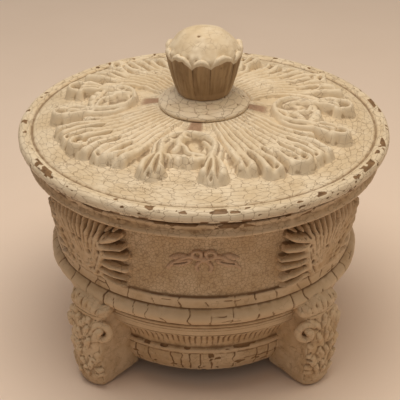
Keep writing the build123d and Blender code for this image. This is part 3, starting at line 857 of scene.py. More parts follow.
def scroll_strokes(hooked):
    """Ridges, slots and pits of the arch and its two leaf tips: u outward, v across."""
    cuts = Strokes()
    for side in (-1, 1):
        leg = [(ARCH_U - ARCH_R, 0.0)]
        leg.append((ARCH_U - 0.80 * ARCH_R, 0.60 * ARCH_R * side))
        leg.append((ARCH_U - 0.30 * ARCH_R, 0.94 * ARCH_R * side))
        leg.append((ARCH_U + 0.45 * ARCH_R, 0.93 * ARCH_R * side))
        leg.append((TIP_U - 3, TIP_V * side))
        leg = curve(leg, 34)
        cuts.ridge(leg, (1.5, 1.7, 1.9), (3.4, 4.2, 4.6))
        inner = leg[:24] + np.array([2.6, -2.4 * side]) * np.linspace(1, 0.5, 24)[:, None]
        cuts.ridge(inner, (0.9, 1.2), (2.6, 3.4))
        outer = leg[4:] + np.array([0.4, 2.9 * side]) * np.linspace(0.7, 1, 30)[:, None]
        cuts.ridge(outer, (1.0, 1.3, 1.6), (2.2, 3.2, 4.0))
        cuts.ridge(curve([(TIP_U - 6, 10.4 * side), (TIP_U, TIP_V * side)], 8), (3.4, 4.8), (2.8, 3.3))
        for shift in (-3.4, 0.0, 3.4):
            vein = [(TIP_U - 9, 10.0 * side + 0.25 * shift), (TIP_U - 3, TIP_V * side + 0.8 * shift)]
            vein.append((TIP_U + 2.2 - 0.10 * shift**2, TIP_V * side + shift))
            cuts.ridge(curve(vein, 12), (1.1, 1.7, 2.3), (3.4, 4.6, 5.0, 4.6))
        for shift in (-1.7, 1.7):
            groove = [(TIP_U - 6, 10.4 * side + 0.5 * shift), (TIP_U + 2.4, TIP_V * side + shift)]
            cuts.slot(curve(groove, 6), (0.4, 0.7, 0.5), (0.8, 1.6, 0.8))
        if hooked:
            hook = np.array([TIP_U + 3.6, (TIP_V + 0.4) * side])
            turn = 200 if side > 0 else 160
            curl = arc(hook, (3.5, 3.0), turn, turn - 310 * side, 28)
            cuts.ridge(curl, (1.3, 1.7, 1.2), (4.8, 5.4, 4.6))
            cuts.pit(*hook, 1.9, 4.4)
        else:
            cuts.pit(TIP_U + 3.4, TIP_V * side - 0.4, 0.85, 3.2)
        cuts.slot(curve([(45.0, 6.3 * side), (49.5, 6.9 * side)], 4), (0.6, 1.0), (2.2, 2.8))
    stem = [(33.0, -7.2), (37.2, -1.2), (40.8, 1.0), (41.6, 6.6)]
    cuts.ridge(curve(stem, 14), (1.0, 1.5, 1.1), (3.2, 3.8, 3.4))
    leaf = [(29.5, -3.0), (33.0, -4.2), (37.0, -3.6), (39.5, -5.0)]
    cuts.ridge(curve(leaf, 12), (1.6, 2.1, 1.7), (3.4, 4.0, 3.2))
    ledge = [(42.2, -8.0), (43.4, -3.0), (44.0, 1.5), (42.8, 7.5)]
    cuts.ridge(curve(ledge, 14), (1.7, 2.3, 1.8), (2.8, 3.4, 3.0))
    for v, size in ((-6.4, 1.0), (-3.2, 0.8), (-0.9, 1.15), (2.6, 0.9)):
        bead = [(42.6, v), (44.8, v + 0.5)]
        cuts.ridge(curve(bead, 4), (1.4 * size, 1.7 * size), (3.2, 3.9 * size))
    for pit in ((32.8, 1.4, 3.3, 4.4), (35.2, 2.6, 2.9, 4.4), (38.8, 4.6, 1.6, 3.0)):
        cuts.pit(*pit)
    return cuts


def make_scroll(side, angle, seed):
    cuts = scroll_strokes(side in ("left", "right"))
    u, v, places = flat_grid((24.5, 62.5), (-19, 19.1), FINE, 7.0)
    inside = 1.0 - ((u - 37.5) / (ARCH_R - 1)) ** 2 - (v / (ARCH_R - 1)) ** 2
    height = carve(u, v, cuts, np.where(inside > 0, 1.6, 0), places, seed)
    x, y = around_axis(np.radians(angle + LID_TURN), u, v)
    lid_relief("lid_scroll", side, x, y, height, np.stack([u, v], -1))


def make_collar():
    outline = [(9, 101.5), (SCREW_R, 101.5), (SCREW_R, 106.4), (9.6, 106.6), (10.2, 106.4), (16.6, 103.6)]
    outline += [(17.8, 102.6), (18, 101.6), (17.6, 100.9), (9, 100.9), (9, 101.5)]
    collar = Turned(outline, [3, 2, 2, 0.3, 0.3, 0.3, 0.3, 0.3, 3, 2], 360, map_radius=15.0)
    place = collar.points()
    lumps = 0.12 * soft_noise(place, 3.4, 21) + 0.03 * soft_noise(place, 1.2, 22)
    shown = ease(9, 10, collar.radius)
    chip_and_shade = chips(place, 2.6, 23, 0.008) * shown
    lift = shown * (lumps - 0.2 * chip_and_shade - 0.1)
    looks = [collar_paint]
    extra = {"chip_and_shade": chip_and_shade}
    collar.piece("knob_collar_crackled", lift, "lid", "crackle_cream", looks, "knob_collar", extra=extra)


# ------------------------------------------------------------------ knob
PETAL_START = 251.5
NARROW, WIDE = 29.0, 43.0
CUP_MAP_R = 12


def petal_at(angle):
    """Place across a petal from -1 to 1, and 1 for a wide petal or 0 for a narrow one."""
    pair = NARROW + WIDE
    turn = (np.degrees(angle) - PETAL_START) % pair
    narrow = turn < NARROW
    across = np.where(narrow, 2 * turn / NARROW - 1, 2 * (turn - NARROW) / WIDE - 1)
    return across, np.where(narrow, 0.0, 1.0)


def make_cup():
    """Flared cup of overlapping petals with rolled cream lips; each ring is a radius, a height
    and how pale it is."""
    columns = 400
    angle = np.arange(columns) * 2 * math.pi / columns
    across, wide = petal_at(angle)
    arch = np.cos(across * math.pi / 2) ** 0.8
    around = np.stack([15 * np.cos(angle), 15 * np.sin(angle), 0 * angle], 1)
    ruffle = soft_noise(around, 2.6, 34)
    rim_z = CUP_LIP_Z + arch * (2.4 + 0.7 * wide) + 0.45 * ruffle
    rings = []
    for q in np.linspace(0, 1, 46):
        z = CUP_Z + q * (rim_z - 1.1 - CUP_Z)
        radius = CUP_R + 0.4 + 4.2 * q**0.85 + 0.35 * math.sin(math.pi * q)
        swell = (0.25 + 0.75 * q) * arch * (0.8 + 0.3 * wide) - 0.4 * q * (1 - arch) ** 3
        fold = 0.10 * np.cos(across * math.pi * (3 + wide)) * q
        rings.append((radius + swell + fold, z, ease(0.90, 0.99, q)))
    lip_r, lip_z, _ = rings[-1]
    for turn in np.linspace(0, 200, 12)[1:]:
        t = math.radians(turn)
        thick = 0.85 + 0.25 * arch + 0.15 * ruffle
        rings.append((lip_r - thick + thick * math.cos(t), lip_z + thick * math.sin(t) * 1.1, 1.0))
    inner_r, inner_z, _ = rings[-1]
    for q in np.linspace(0, 1, 14)[1:]:
        rings.append((inner_r - 3.6 * q, inner_z - (inner_z - 114.0) * q, 1.0 - ease(0.0, 0.22, q)))
    rings += [(5.0, CUP_FLOOR_Z + 0.2, 0.0), (2.05, CUP_FLOOR_Z, 0.0)]
    rings += [(2.05, CUP_Z, 0.0), (6.0, CUP_Z, 0.0)]
    radius, height, pale = (np.stack([ring[k] + 0 * angle for ring in rings], 1) for k in range(3))
    turn = np.repeat(angle[:, None], len(rings), 1)
    place = np.stack([radius * np.cos(turn), radius * np.sin(turn), height], -1).reshape(-1, 3)
    bumps = 0.13 * soft_noise(place, (1.8, 1.8, 5.0), 31) + 0.10 * soft_noise(place, 1.6, 32)
    shown = (radius.ravel() > 9.0) * ease(CUP_Z, CUP_Z + 1, height.ravel())
    place[:, :2] *= (1 + shown * bumps / np.maximum(radius.ravel(), 1))[:, None]
    place[:, 2] += shown * ease(118, 122, height.ravel()) * 0.25 * soft_noise(place, 2.2, 33)
    reach = np.hypot(place[:, 0], place[:, 1])
    place[:, :2] *= np.minimum(1, CUP_RIM_R / np.maximum(reach, 1e-6))[:, None]
    quads = grid_quads(columns, len(rings), True, True)
    uv = np.stack([turn.ravel() * CUP_MAP_R, height.ravel()], 1)
    around = 2 * math.pi * CUP_MAP_R
    look = ("lid", "antiqued_cup", [knob_cup_paint], ["knob_cup"])
    extra = {"pale": pale.ravel()}
    make_piece("knob_cup_petals", place, quads, *look, uv, around, extra=extra)


def make_bud():
    """Lumpy mound that fills the cup to its lips."""
    drops = ((0, 0.5), (4.0, 0.8), (7.6, 2.0), (11.0, 4.6), (13.6, 8.0), (14.4, 10.0))
    mound = [(r, TOP_Z - drop) for r, drop in drops] + [(13.2, 119.5), (9.0, 112.2), (0, 112.2)]
    bud = Turned(mound, [0.3] * 6 + [0.8, 1.5], 320, soften=1.0, map_radius=10.0)
    place = bud.points()
    upper = ease(118, 121, bud.height)
    lumps = 0.34 * soft_noise(place, 3.8, 41) + 0.10 * soft_noise(place, 1.6, 42)
    rim = bell(bud.height, 124.6, 1.4)
    frill = 0.55 * rim * soft_noise(place, (1.5, 1.5, 4.0), 44)
    dips = [(-1.9, -5.6, 131.0, 0.75), (4.5, -9.6, 128.0, 0.4), (6.5, -3.0, 130.6, 0.45)]
    hole = np.zeros(len(place))
    for x, y, z, size in dips:
        gap = np.linalg.norm(place - np.array([x, y, z]), axis=1)
        hole = np.maximum(hole, size / 0.75 * ease(1.9 * size, 0.4 * size, gap))
    lift = np.minimum(upper * (lumps + frill), TOP_Z - bud.height - 0.02) - 0.5 * hole
    # Painted shade: the dips are painted dark.
    extra = {"chip_and_shade": 0.7 * hole}
    bud.piece("knob_bud_carved", lift, "lid", "relief_cream", [bud_paint], "knob_bud", extra=extra)


make_lid_plate()
FANS = {"front_right": (270, 1), "front_left": (270, -1), "rear_right": (90, -1), "rear_left": (90, 1)}
for number, (corner, (start, direction)) in enumerate(FANS.items()):
    make_fan(corner, start, direction, 50 + 7 * number)
for number, (side, angle) in enumerate(SIDES.items()):
    make_scroll(side, angle, 90 + 5 * number)
make_collar()
make_cup()
make_bud()


# ------------------------------------------------------------------ bowl and plinth
def wall_cracks(skin, low, high, spacing, seed, width=0.33, reach=1.0):
    """Long cracks that run down a band between two heights, and the block each point is in."""
    rng = np.random.default_rng(seed)
    band = (skin.height > low - 0.3) & (skin.height < high + 0.3) & (skin.radius > BORE_R + 0.5)
    places = skin.points()[band]
    run = skin.radius[band].max() * skin.angle[band]
    length = skin.radius[band].max() * 2 * math.pi
    level = (skin.height[band] - low) / (high - low)
    sway = 0.9 * soft_noise(places, 2.4, seed + 1) + 0.8 * soft_noise(places, 6.0, seed + 2)
    crack, block = np.zeros(len(places)), np.zeros(len(places))
    starts = np.cumsum(rng.uniform(0.55, 1.5, int(length / spacing) + 6) * spacing)
    starts = starts[starts < length - 0.4 * spacing]
    lean = rng.uniform(-1.4, 1.4, len(starts))
    tops = np.where(rng.random(len(starts)) < 0.7, 1.1, rng.uniform(0.45, 0.9, len(starts)))
    feet = np.where(rng.random(len(starts)) < 0.75, -0.1, rng.uniform(0.1, 0.5, len(starts)))
    offsets = rng.uniform(-0.13, 0.13, len(starts) + 1)
    for start, slant, top, foot, offset in zip(starts, lean, tops, feet, offsets[1:]):
        gap = run - start - slant * (level - 0.5) - sway
        line = bell(gap, 0, width) * ease(top + 0.06, top - 0.06, level)
        crack = np.maximum(crack, line * ease(foot - 0.06, foot + 0.06, level))
        block = np.where(gap > 0, offset, block)
    for _ in range(int(length / spacing * reach)):
        place, span = rng.uniform(0, length), rng.uniform(0.5, 1.6) * spacing
        at = rng.uniform(0.2, 0.8)
        gap = (level - at) * (high - low) - 0.35 * sway
        inside = ease(span / 2, span / 2 - 0.8, np.abs(run - place))
        crack = np.maximum(crack, 0.8 * bell(gap, 0, 0.8 * width) * inside)
    crack *= 0.55 + 0.45 * ease(-0.4, 0.3, soft_noise(places, 3.0, seed + 3))
    whole_crack, whole_block = np.zeros(len(skin.angle)), np.zeros(len(skin.angle))
    whole_crack[band], whole_block[band] = crack, block
    return whole_crack, whole_block


def bulge(start, end, swell, count):
    """Points of a bowed stretch of outline between two corners, ends left out."""
    t = np.linspace(0, 1, count + 2)[1:-1]
    radius = start[0] + (end[0] - start[0]) * t + 4 * swell * t * (1 - t)
    return list(zip(radius, start[1] + (end[1] - start[1]) * t))


def make_bowl():
    torus_top, torus_foot = (59.6, TORUS_Z[1]), (FILLET_R, TORUS_Z[0])
    # Out over the cavity's floor and up its wall; over the band; down the frieze, the step,
    # the torus and the fillet; in under the shoulder and the spigot.
    outline = [(0, FLOOR_Z), (50, FLOOR_Z), (53.5, FLOOR_Z + 1.5), (BORE_R, FLOOR_Z + 5)]
    outline += [(BORE_R, SEAT_Z), (BAND_R - 0.8, SEAT_Z), (BAND_R, SEAT_Z - 0.8)]
    outline += [(BAND_R, BAND_Z + 1.2), (BAND_R - 1.0, BAND_Z), (60.6, BAND_Z - 1.0)]
    outline += [(FRIEZE_R[1], NECK_Z), (FRIEZE_R[0], FRIEZE_FOOT_Z)]
    outline += [(STEP_R, STEP_Z[1]), (STEP_R, STEP_Z[0]), torus_top]
    outline += [*bulge(torus_top, torus_foot, TORUS_R - 59.1, 6), torus_foot]
    outline += [(FILLET_R - 0.5, 36.0), (FILLET_R + 0.3, 35.3), (FILLET_R - 0.5, 34.6)]
    outline += [(FILLET_R, FILLET_Z), (SHOULDER_R, 33.0), (SHOULDER_R, SHOULDER_Z)]
    outline += [(SPIGOT_R, SHOULDER_Z), (SPIGOT_R, 8.0), (0, 8.0)]
    seen_step = 0.4
    steps = [6, 2, 2, 5, 0.9] + [seen_step] * (len(outline) - 10) + [1.0, 4, 6, 8]
    bowl = Turned(outline, steps, BIG_COLUMNS, soften=0.28)
    place = bowl.points()
    z = bowl.height
    outside = (bowl.radius > BORE_R + 2) & (z > 32)
    torus, block = wall_cracks(bowl, TORUS_Z[0] + 0.2, TORUS_Z[1] - 0.1, 8.6, 201, reach=0.45)
    step, step_block = wall_cracks(bowl, 45.2, 49.2, 7.5, 211, width=0.3, reach=0.3)
    seam = bell(z, 49.5, 0.42) + bell(z, 44.85, 0.38)
    seam *= (bowl.radius < 60.4) * (0.55 + 0.45 * ease(-0.3, 0.2, soft_noise(place, 3.5, 221))) * outside
    crack = np.maximum(np.maximum(torus, step), 0.9 * seam)
    # Chips set thick near the top of the band, partly real chipping and partly painted shade under the
    # lid's overhang.
    lip = ease(SEAT_Z - 4.0, SEAT_Z - 2.4, z) * outside
    band = ease(BAND_Z - 1, BAND_Z + 1, z)
    chip_and_shade = chips(place, (4.2, 4.2, 1.8), 223, 0.26) * lip
    chip_and_shade = np.maximum(chip_and_shade, chips(place, (2.2, 2.2, 1.6), 225, 0.02) * band * outside)
    # Painted shade: the top of the band is painted dark all round and let in a little, for the shaded gap
    # under the lid's rim.
    seat_gap_shade = ease(SEAT_Z - 1.5, SEAT_Z - 0.9, z + 0.3 * soft_noise(place, 3.0, 233)) * outside
    chip_and_shade = np.maximum(chip_and_shade, seat_gap_shade)
    bead = bell(z - BAND_Z, 1.0, 0.8) * (bowl.radius > 66)
    cove = bell(z - BAND_Z, 3.6, 1.3) * (bowl.radius > 66)
    lumps = 0.10 * soft_noise(place, 6.0, 227) + 0.06 * soft_noise(place, 1.6, 229)
    frieze = ease(NECK_Z + 0.5, NECK_Z - 0.5, z) * ease(49.3, 50.0, z)
    web = 0.05 * soft_noise(place, 0.9, 231) * frieze
    lift = lumps + web + block + step_block - 0.42 * np.maximum(torus, step) - 0.2 * chip_and_shade
    lift = outside * (lift + 0.45 * bead - 0.4 * cove - 0.9 * seat_gap_shade)
    looks = [band_paint, frieze_paint, torus_paint, inside_paint]
    extra = {"crack": crack * outside, "chip_and_shade": chip_and_shade}
    bowl.piece("bowl_shell_crackled", lift, "box", "crackle_cream", looks, "bowl_shell", bowl_zone, extra)


def bowl_zone(radius, z):
    """Which paint a row of the bowl has: band, frieze, step and torus, or the bare inside."""
    if radius < SHOULDER_R - 0.1 or z < SHOULDER_Z + 0.2:
        return 3
    if z > NECK_Z + 0.8:
        return 0
    return 1 if z > 49.3 else 2


PLINTH_FLUTES = 150


def make_plinth():
    cove_top, cove_foot = (56.2, 29.2), (49.8, 19.5)
    # Up the bore, over the top, down the fluted cove and the lower ring.
    outline = [(46.0, PLINTH_Z), (PLINTH_BORE_R, PLINTH_Z), (PLINTH_BORE_R, SHOULDER_Z)]
    outline += [(57.0, SHOULDER_Z), cove_top]
    outline += [*bulge(cove_top, cove_foot, -1.2, 5), cove_foot, (50.9, 18.8), (50.9, 17.4)]
    outline += [(50.3, 16.9), (50.4, 14.0), (49.4, 10.6), (47.4, 7.0), (46.6, PLINTH_Z), (46.0, PLINTH_Z)]
    steps = [2, 5, 1.5] + [0.36] * (len(outline) - 4)
    ring = Turned(outline, steps, 900, soften=0.25, map_radius=50.0)
    place, z = ring.points(), ring.height
    outside = ring.radius > PLINTH_SKIN_R
    flute = np.cos(PLINTH_FLUTES * ring.angle + 0.8 * soft_noise(place, 4.0, 241))
    slot = ease(0.05, 0.75, flute) * ease(19.6, 26.5, z) * ease(29.6, 28.6, z)
    slot *= 0.75 + 0.5 * soft_noise(place, 3.0, 243)
    blocks, offset = wall_cracks_low(ring, 7.4, 16.6)
    dash = ease(0.15, 0.4, soft_noise(place, (3.2, 3.2, 1.2), 245)) * bell(z, 19.0, 0.7)
    lower = ease(17.4, 15.5, z)
    chip_and_shade = np.maximum(dash, chips(place, (2.8, 2.8, 1.6), 247, 0.06) * lower) * outside
    lumps = 0.13 * soft_noise(place, 5.0, 249) + 0.09 * soft_noise(place, 1.7, 251)
    lift = outside * (lumps - 0.75 * slot + offset - 0.4 * blocks - 0.35 * chip_and_shade)
    look = ("box", "crackle_cream", [plinth_paint, inside_paint])
    extra = {"chip_and_shade": chip_and_shade, "crack": np.maximum(0.75 * slot, 0.9 * blocks) * outside}
    ring.piece("plinth_ring_crackled", lift, *look, "plinth_ring", plinth_zone, extra)


def plinth_zone(radius, z):
    """1 on the plinth's bore and its hidden top and foot, 0 where it is painted."""
    return 1 if radius < PLINTH_SKIN_R + 0.2 or z > PLINTH_TOP_Z else 0


def wall_cracks_low(ring, low, high):
    """Cracks and blocks of the plinth's lower ring, which lies inside the bowl's bore radius."""
    rng = np.random.default_rng(261)
    places = ring.points()
    band = (ring.height > low) & (ring.height < high) & (ring.radius > PLINTH_SKIN_R)
    run = 49.5 * ring.angle
    sway = 0.7 * soft_noise(places, 2.2, 262)
    crack, offset = np.zeros(len(run)), np.zeros(len(run))
    starts = np.cumsum(rng.uniform(0.5, 1.6, 60) * 6.0)
    for start in starts[starts < 308]:
        gap = run - start - sway
        crack = np.maximum(crack, bell(gap, 0, 0.3))
        offset = np.where(gap > 0, rng.uniform(-0.16, 0.16), offset)
    shelf = bell(ring.height - 12.6, 0.5 * sway, 0.35)
    shelf = shelf * ease(-0.3, 0.1, soft_noise(places, 7.0, 263))
    crack = np.maximum(crack, shelf) * (0.5 + 0.5 * ease(-0.3, 0.3, soft_noise(places, 3.0, 264)))
    return crack * band, offset * band


# ------------------------------------------------------------------ carving on the bowl
def frieze_radius(z):
    """Radius of the frieze, which leans in a little towards its foot."""
    share = np.clip((z - FRIEZE_FOOT_Z) / (NECK_Z - FRIEZE_FOOT_Z), 0, 1)
    return FRIEZE_R[0] + share * (FRIEZE_R[1] - FRIEZE_R[0])


def wall_relief(kind, where, angle, s, z, height, radius, material, turn_r=WALL_R, depth=0.9):
    """Relief standing on the box's wall: s along the wall from the given angle, z up."""
    turn = np.radians(angle) + s / turn_r
    base = np.stack([radius * np.cos(turn), radius * np.sin(turn), z], -1)
    normal = np.stack([np.cos(turn), np.sin(turn), np.zeros_like(z)], -1)
    flat = np.stack([s, z], -1)
    relief_piece(kind, where, base, normal, height, flat, "box", material, depth)


PALMETTE_SPREAD = 3.5


def make_palmette(corner, angle, seed):
    """Broad leaf: thin veins that rise to the neck, and short fingers down both margins."""
    rng = np.random.default_rng(seed)
    s, z, places = flat_grid((-22.5, 22.6), (FRIEZE_Z, NECK_Z), FINE, 3.0)
    cuts = Strokes()
    for i in range(-7, 8):
        top = 77.4 - 0.05 * i**2 + rng.uniform(-0.5, 0.3)
        vein = [(0.5 * i, 50.4), (1.25 * i, 58), (1.85 * i, 66), (2.35 * i, 72.5), (2.6 * i, top)]
        cuts.ridge(curve(vein, 16), (0.8, 1.15, 1.25, 1.45, 1.3), (2.3, 2.7, 3.0, 3.3, 2.6))
        if i < 7:
            gap = 2.45 * (i + 0.5) + rng.uniform(-0.2, 0.2)
            foot = rng.uniform(68.8, 71.5)
            notch = curve([(0.88 * gap, foot), (gap, 73.5), (1.07 * gap, 77.5)], 5)
            cuts.slot(notch, (0.3, 0.8, 1.0), (0.8, 3.2, 3.8))
    for side in (-1, 1):
        for k in range(6):
            root = 51.0 + 3.5 * k + rng.uniform(-0.6, 0.6)
            tip = 48.8 + 4.8 * k + rng.uniform(-0.9, 0.9)
            reach = 21.2 - 0.34 * (k - 2.4) ** 2 + rng.uniform(-0.6, 0.4)
            bow = 1.2 - 0.3 * k
            finger = [(8.0 * side, root), (13.5 * side, (root + tip) / 2 + bow), (reach * side, tip)]
            cuts.ridge(curve(finger, 9), (1.5, 1.8, 2.1, 1.6), (2.4, 3.2, 3.5, 2.5))
            root, tip = root + 1.75, tip + 2.4
            gap = [(12.0 * side, (root + tip) / 2 + 0.5 * bow), (16.0 * side, 0.3 * root + 0.7 * tip)]
            gap.append((22.0 * side, tip))
            wide = rng.uniform(0.7, 1.25)
            cuts.slot(curve(gap, 6), (0.35, 0.85 * wide, 1.1 * wide), (1.0, 3.6, 3.4))
        rib = curve([(6.0 * side, 50.5), (9.6 * side, 57), (12.4 * side, 65), (15.2 * side, 72.5)], 12)
        cuts.ridge(rib, (1.1, 1.3, 1.1), (3.0, 3.9, 3.4))
        cuts.pit(rng.uniform(4.5, 8.5) * side, rng.uniform(55, 62), 1.2, 1.7)
        cuts.pit(rng.uniform(1.0, 5.0) * side, rng.uniform(60, 67), 0.9, 1.4)
        cuts.pit(rng.uniform(8.0, 12.0) * side, rng.uniform(63, 68), 1.0, 1.6)
        for lump in range(5):
            at = (rng.uniform(1.5, 9.5) * side, rng.uniform(51, 57))
            cuts.ridge([at, (at[0] + 1.4 * side, at[1] + 1.0)], (1.1, 1.0), (3.4, 3.2))
    body = ease(1.0, 0.8, np.hypot(s / (9.0 + 0.27 * (z - 50)), (z - 50) / 27.0))
    height = carve(s, z, cuts, 1.5 * body, places, seed)
    height += 0.25 * (height > 0.5) * soft_noise(places, (1.6, 3.2, 1.0), seed + 5)
    swell = np.interp(z, (50, 60, 68, 73, 76, 79), (0, 1.4, 3.0, 3.8, 3.6, 2.6)) * ease(0.4, 1.6, height)
    height = 0.86 * height + swell
    wall_relief("cartouche", corner, angle, s, z, height, frieze_radius(z), carved_paint)


KNEE_FOOT = node_foot("knee_leaf_front_left")
KNEE_Z = (34.0, 36.6, 38.4, 40.2, 41.8, 43.0)
KNEE_OUT = (65.4, 65.2, 64.4, 63.2, 61.6, 60.6)


def make_knee_leaf(corner, angle, seed):
    """Worn crest of leaf over a foot, curling out just under the torus."""
    s, z, places = flat_grid((-10.5, 10.6), (KNEE_FOOT, 41.6), 0.25, 5.0)
    rng = np.random.default_rng(seed)
    cuts = leaf_lobes(rng, 34.0, 38.0, 8.0, 16)
    for k in range(7):
        place = -7.8 + 2.6 * k + rng.uniform(-0.5, 0.5)
        top = 39.6 - 0.035 * place**2 + rng.uniform(-0.8, 0.5)
        leaf = curve([(0.85 * place, 34.5), (place, top)], 6)
        cuts.ridge(leaf, (1.0, 1.5), (0.7, rng.uniform(1.3, 2.3)))
    body = 0.6 * ease(9.9, 9.2, np.abs(s)) * ease(40.2, 39.4, z + 0.035 * s**2)
    height = carve(s, z, cuts, body, places, seed)
    radius = np.interp(z, KNEE_Z, KNEE_OUT) - 0.02 * s**2
    inward = (radius - KNEE_BACK_R)[..., None]
    wall_relief("knee_leaf", corner, angle, s, z, height, radius, carved_paint, KNEE_R, inward)


def make_garland(side, angle, seed):
    """Small tied bow with a leafy tail on each side."""
    s, z, places = flat_grid((-15.5, 15.6), (59.0, 72.6), 0.22, 9.0)
    cuts = Strokes()
    for hand in (-1, 1):
        tail = [(1.5 * hand, 66.4), (5.5 * hand, 67.4), (9.6 * hand, 65.2), (13.2 * hand, 61.8)]
        cuts.ridge(curve(tail, 20), (0.8, 1.1, 0.7), (0.9, 1.1, 0.7))
        low_leaf = curve([(5.4 * hand, 65.6), (11.2 * hand, 63.8)], 6)
        cuts.ridge(low_leaf, (1.3, 2.1, 1.1), (0.8, 1.1, 0.7))
        high_leaf = curve([(7.5 * hand, 67.6), (12.2 * hand, 66.4)], 6)
        cuts.ridge(high_leaf, (0.9, 1.5, 0.7), (0.8, 1.0, 0.6))
        cuts.ridge(arc((2.4 * hand, 68.2), (1.7, 1.6), 200, 560, 20), (0.75, 0.75), (1.1, 1.1))
        ribbon = curve([(0.8 * hand, 66), (2.6 * hand, 63.4), (2.2 * hand, 61.4)], 10)
        cuts.ridge(ribbon, (0.8, 0.7), (1.0, 0.8))
        cuts.pit(2.4 * hand, 68.2, 0.6, 0.8)
        cuts.slot(curve([(6.2 * hand, 65.3), (11.0 * hand, 63.9)], 5), (0.25, 0.35), (0.5, 0.7))
    cuts.ridge([(-0.5, 66.6), (0.5, 66.6)], (1.3, 1.3), (1.5, 1.5))
    cuts.pit(3.4, 66.0, 0.8, 1.2)
    wobble = 0.3 * soft_noise(places, 3.0, seed)
    height = ridge_field(s + wobble, z - wobble, cuts.ridges)
    height = height - np.minimum(cuts.depth(s, z), np.maximum(height - 0.2, 0))
    height = np.where(height > 0.15, height + 0.08 * soft_noise(places, 1.2, seed + 1), height)
    wall_relief("garland", side, angle, s, z, height, frieze_radius(z), garland_paint)


# ------------------------------------------------------------------ feet
FOOT_LEVELS = (0.8, 4.0, 10.0, 17.0, 24.0, 30.0, 34.5)
FOOT_OUT = (66.0, 66.9, 67.6, 67.9, 67.6, 66.9, 66.2)
FOOT_IN_LEVELS = (0.8, 1.6, 2.6, 3.4, 9.0, 30.0, 34.5)
FOOT_IN = (57.6, 55.5, 51.0, 44.5, 43.0, 46.0, 57.0)
FOOT_HALF_LEVELS = (0.8, 8.0, 20.0, 34.5)
FOOT_HALF = (7.0, 7.9, 8.4, 8.0)
ROLL = (64.2, 8.6, 27.2)
PAD_AT = 61.5
PAD_HALF = (3.2, 5.4)


def leaf_lobes(rng, low, high, half, count):
    """Overlapping lobes of a worn leaf, which spread from its middle, and the pits between."""
    cuts = Strokes()
    for _ in range(count):
        t, z = rng.uniform(-half, half), rng.uniform(low, high)
        lean = math.radians(90 - 62 * t / half + rng.normal(0, 16))
        length = rng.uniform(2.6, 4.6)
        tip = (t + length * math.cos(lean), z + length * math.sin(lean))
        bend = (t + 0.5 * length * math.cos(lean), z + 0.65 * length * math.sin(lean))
        lobe = curve([(t, z), bend, tip], 7)
        cuts.ridge(lobe, (0.7, 1.3, 1.15), (0.3, 0.9, rng.uniform(0.8, 1.6)))
        pit = (tip[0] + rng.normal(0, 1.2), tip[1] + rng.uniform(0.8, 1.8))
        cuts.pit(*pit, rng.uniform(0.4, 0.9), 0.9)
    return cuts


def make_foot(corner, angle, seed):
    """Bracket foot with a rounded outer face carved as a worn leaf, and smooth sides."""
    leaf = leaf_lobes(np.random.default_rng(seed), 4.0, 31.0, 8.0, 44)
    face, side, back = 72, 60, 12
    low, high = FOOT_LEVELS[0], FOOT_LEVELS[-1]
    levels = np.r_[np.arange(low, high, 0.3), high]
    swing = np.linspace(-math.pi / 2, math.pi / 2, face, endpoint=False)
    across = np.r_[np.sin(swing), np.ones(side), np.linspace(1, -1, back, endpoint=False), -np.ones(side)]
    others = np.ones(2 * side + back)
    bow = np.r_[1 - np.cos(swing), others]
    inward = np.r_[np.zeros(face), np.linspace(0, 1, side, endpoint=False), np.ones(back)]
    inward = np.r_[inward, np.linspace(1, 0, side, endpoint=False)]
    out = np.interp(levels, FOOT_LEVELS, FOOT_OUT)
    soft = np.exp(-0.5 * (np.arange(-12, 13) / 6.0) ** 2)
    out = np.convolve(np.pad(out, 12, mode="reflect", reflect_type="odd"), soft / soft.sum(), "valid")
    inner = np.interp(levels, FOOT_IN_LEVELS, FOOT_IN)
    half = np.interp(levels, FOOT_HALF_LEVELS, FOOT_HALF)
    toe = 2.6 + 1.2 * ease(22, 4, levels)
    sole = 0.5 * ease(2.6, low, levels)
    start = out - sole
    r = start[:, None] - toe[:, None] * bow + (inner - start + toe)[:, None] * inward
    t = (half - 0.5 * sole)[:, None] * across
    z = np.repeat(levels[:, None], len(across), 1)
    for _ in range(4):
        r = 0.5 * r + 0.25 * (np.roll(r, 1, 1) + np.roll(r, -1, 1))
        t = 0.5 * t + 0.25 * (np.roll(t, 1, 1) + np.roll(t, -1, 1))
    tuck = ease(low, low + 1.6, z) * ease(high, high - 2, z)
    facing = np.r_[np.cos(swing), 0 * others]
    turned = np.r_[np.sin(swing), np.ones(side), np.zeros(back), -np.ones(side)]
    front = np.r_[np.ones(face), 0 * others]
    places = np.stack([r, t, z], -1)
    rough = 0.15 * soft_noise(places, 1.6, seed) + 0.20 * soft_noise(places, 4.0, seed + 1)
    lumps = 0.40 * soft_noise(places, 2.7, seed + 2) + 0.25 * soft_noise(places, 1.3, seed + 3)
    lifted = ridge_field(t, z, leaf.ridges) - 0.8 * pit_field(t, z, leaf.pits) + lumps - 0.5
    near_out = ease(46.5, 48.5, r)
    lift = tuck * (front * lifted + near_out * rough)
    x, y = around_axis(np.radians(angle), r + facing * lift, t + turned * lift)
    loops = np.stack([x, y, z], -1)
    stacked_piece("foot_carved_" + corner, loops, "relief_cream", foot_paint, ["foot_" + corner])


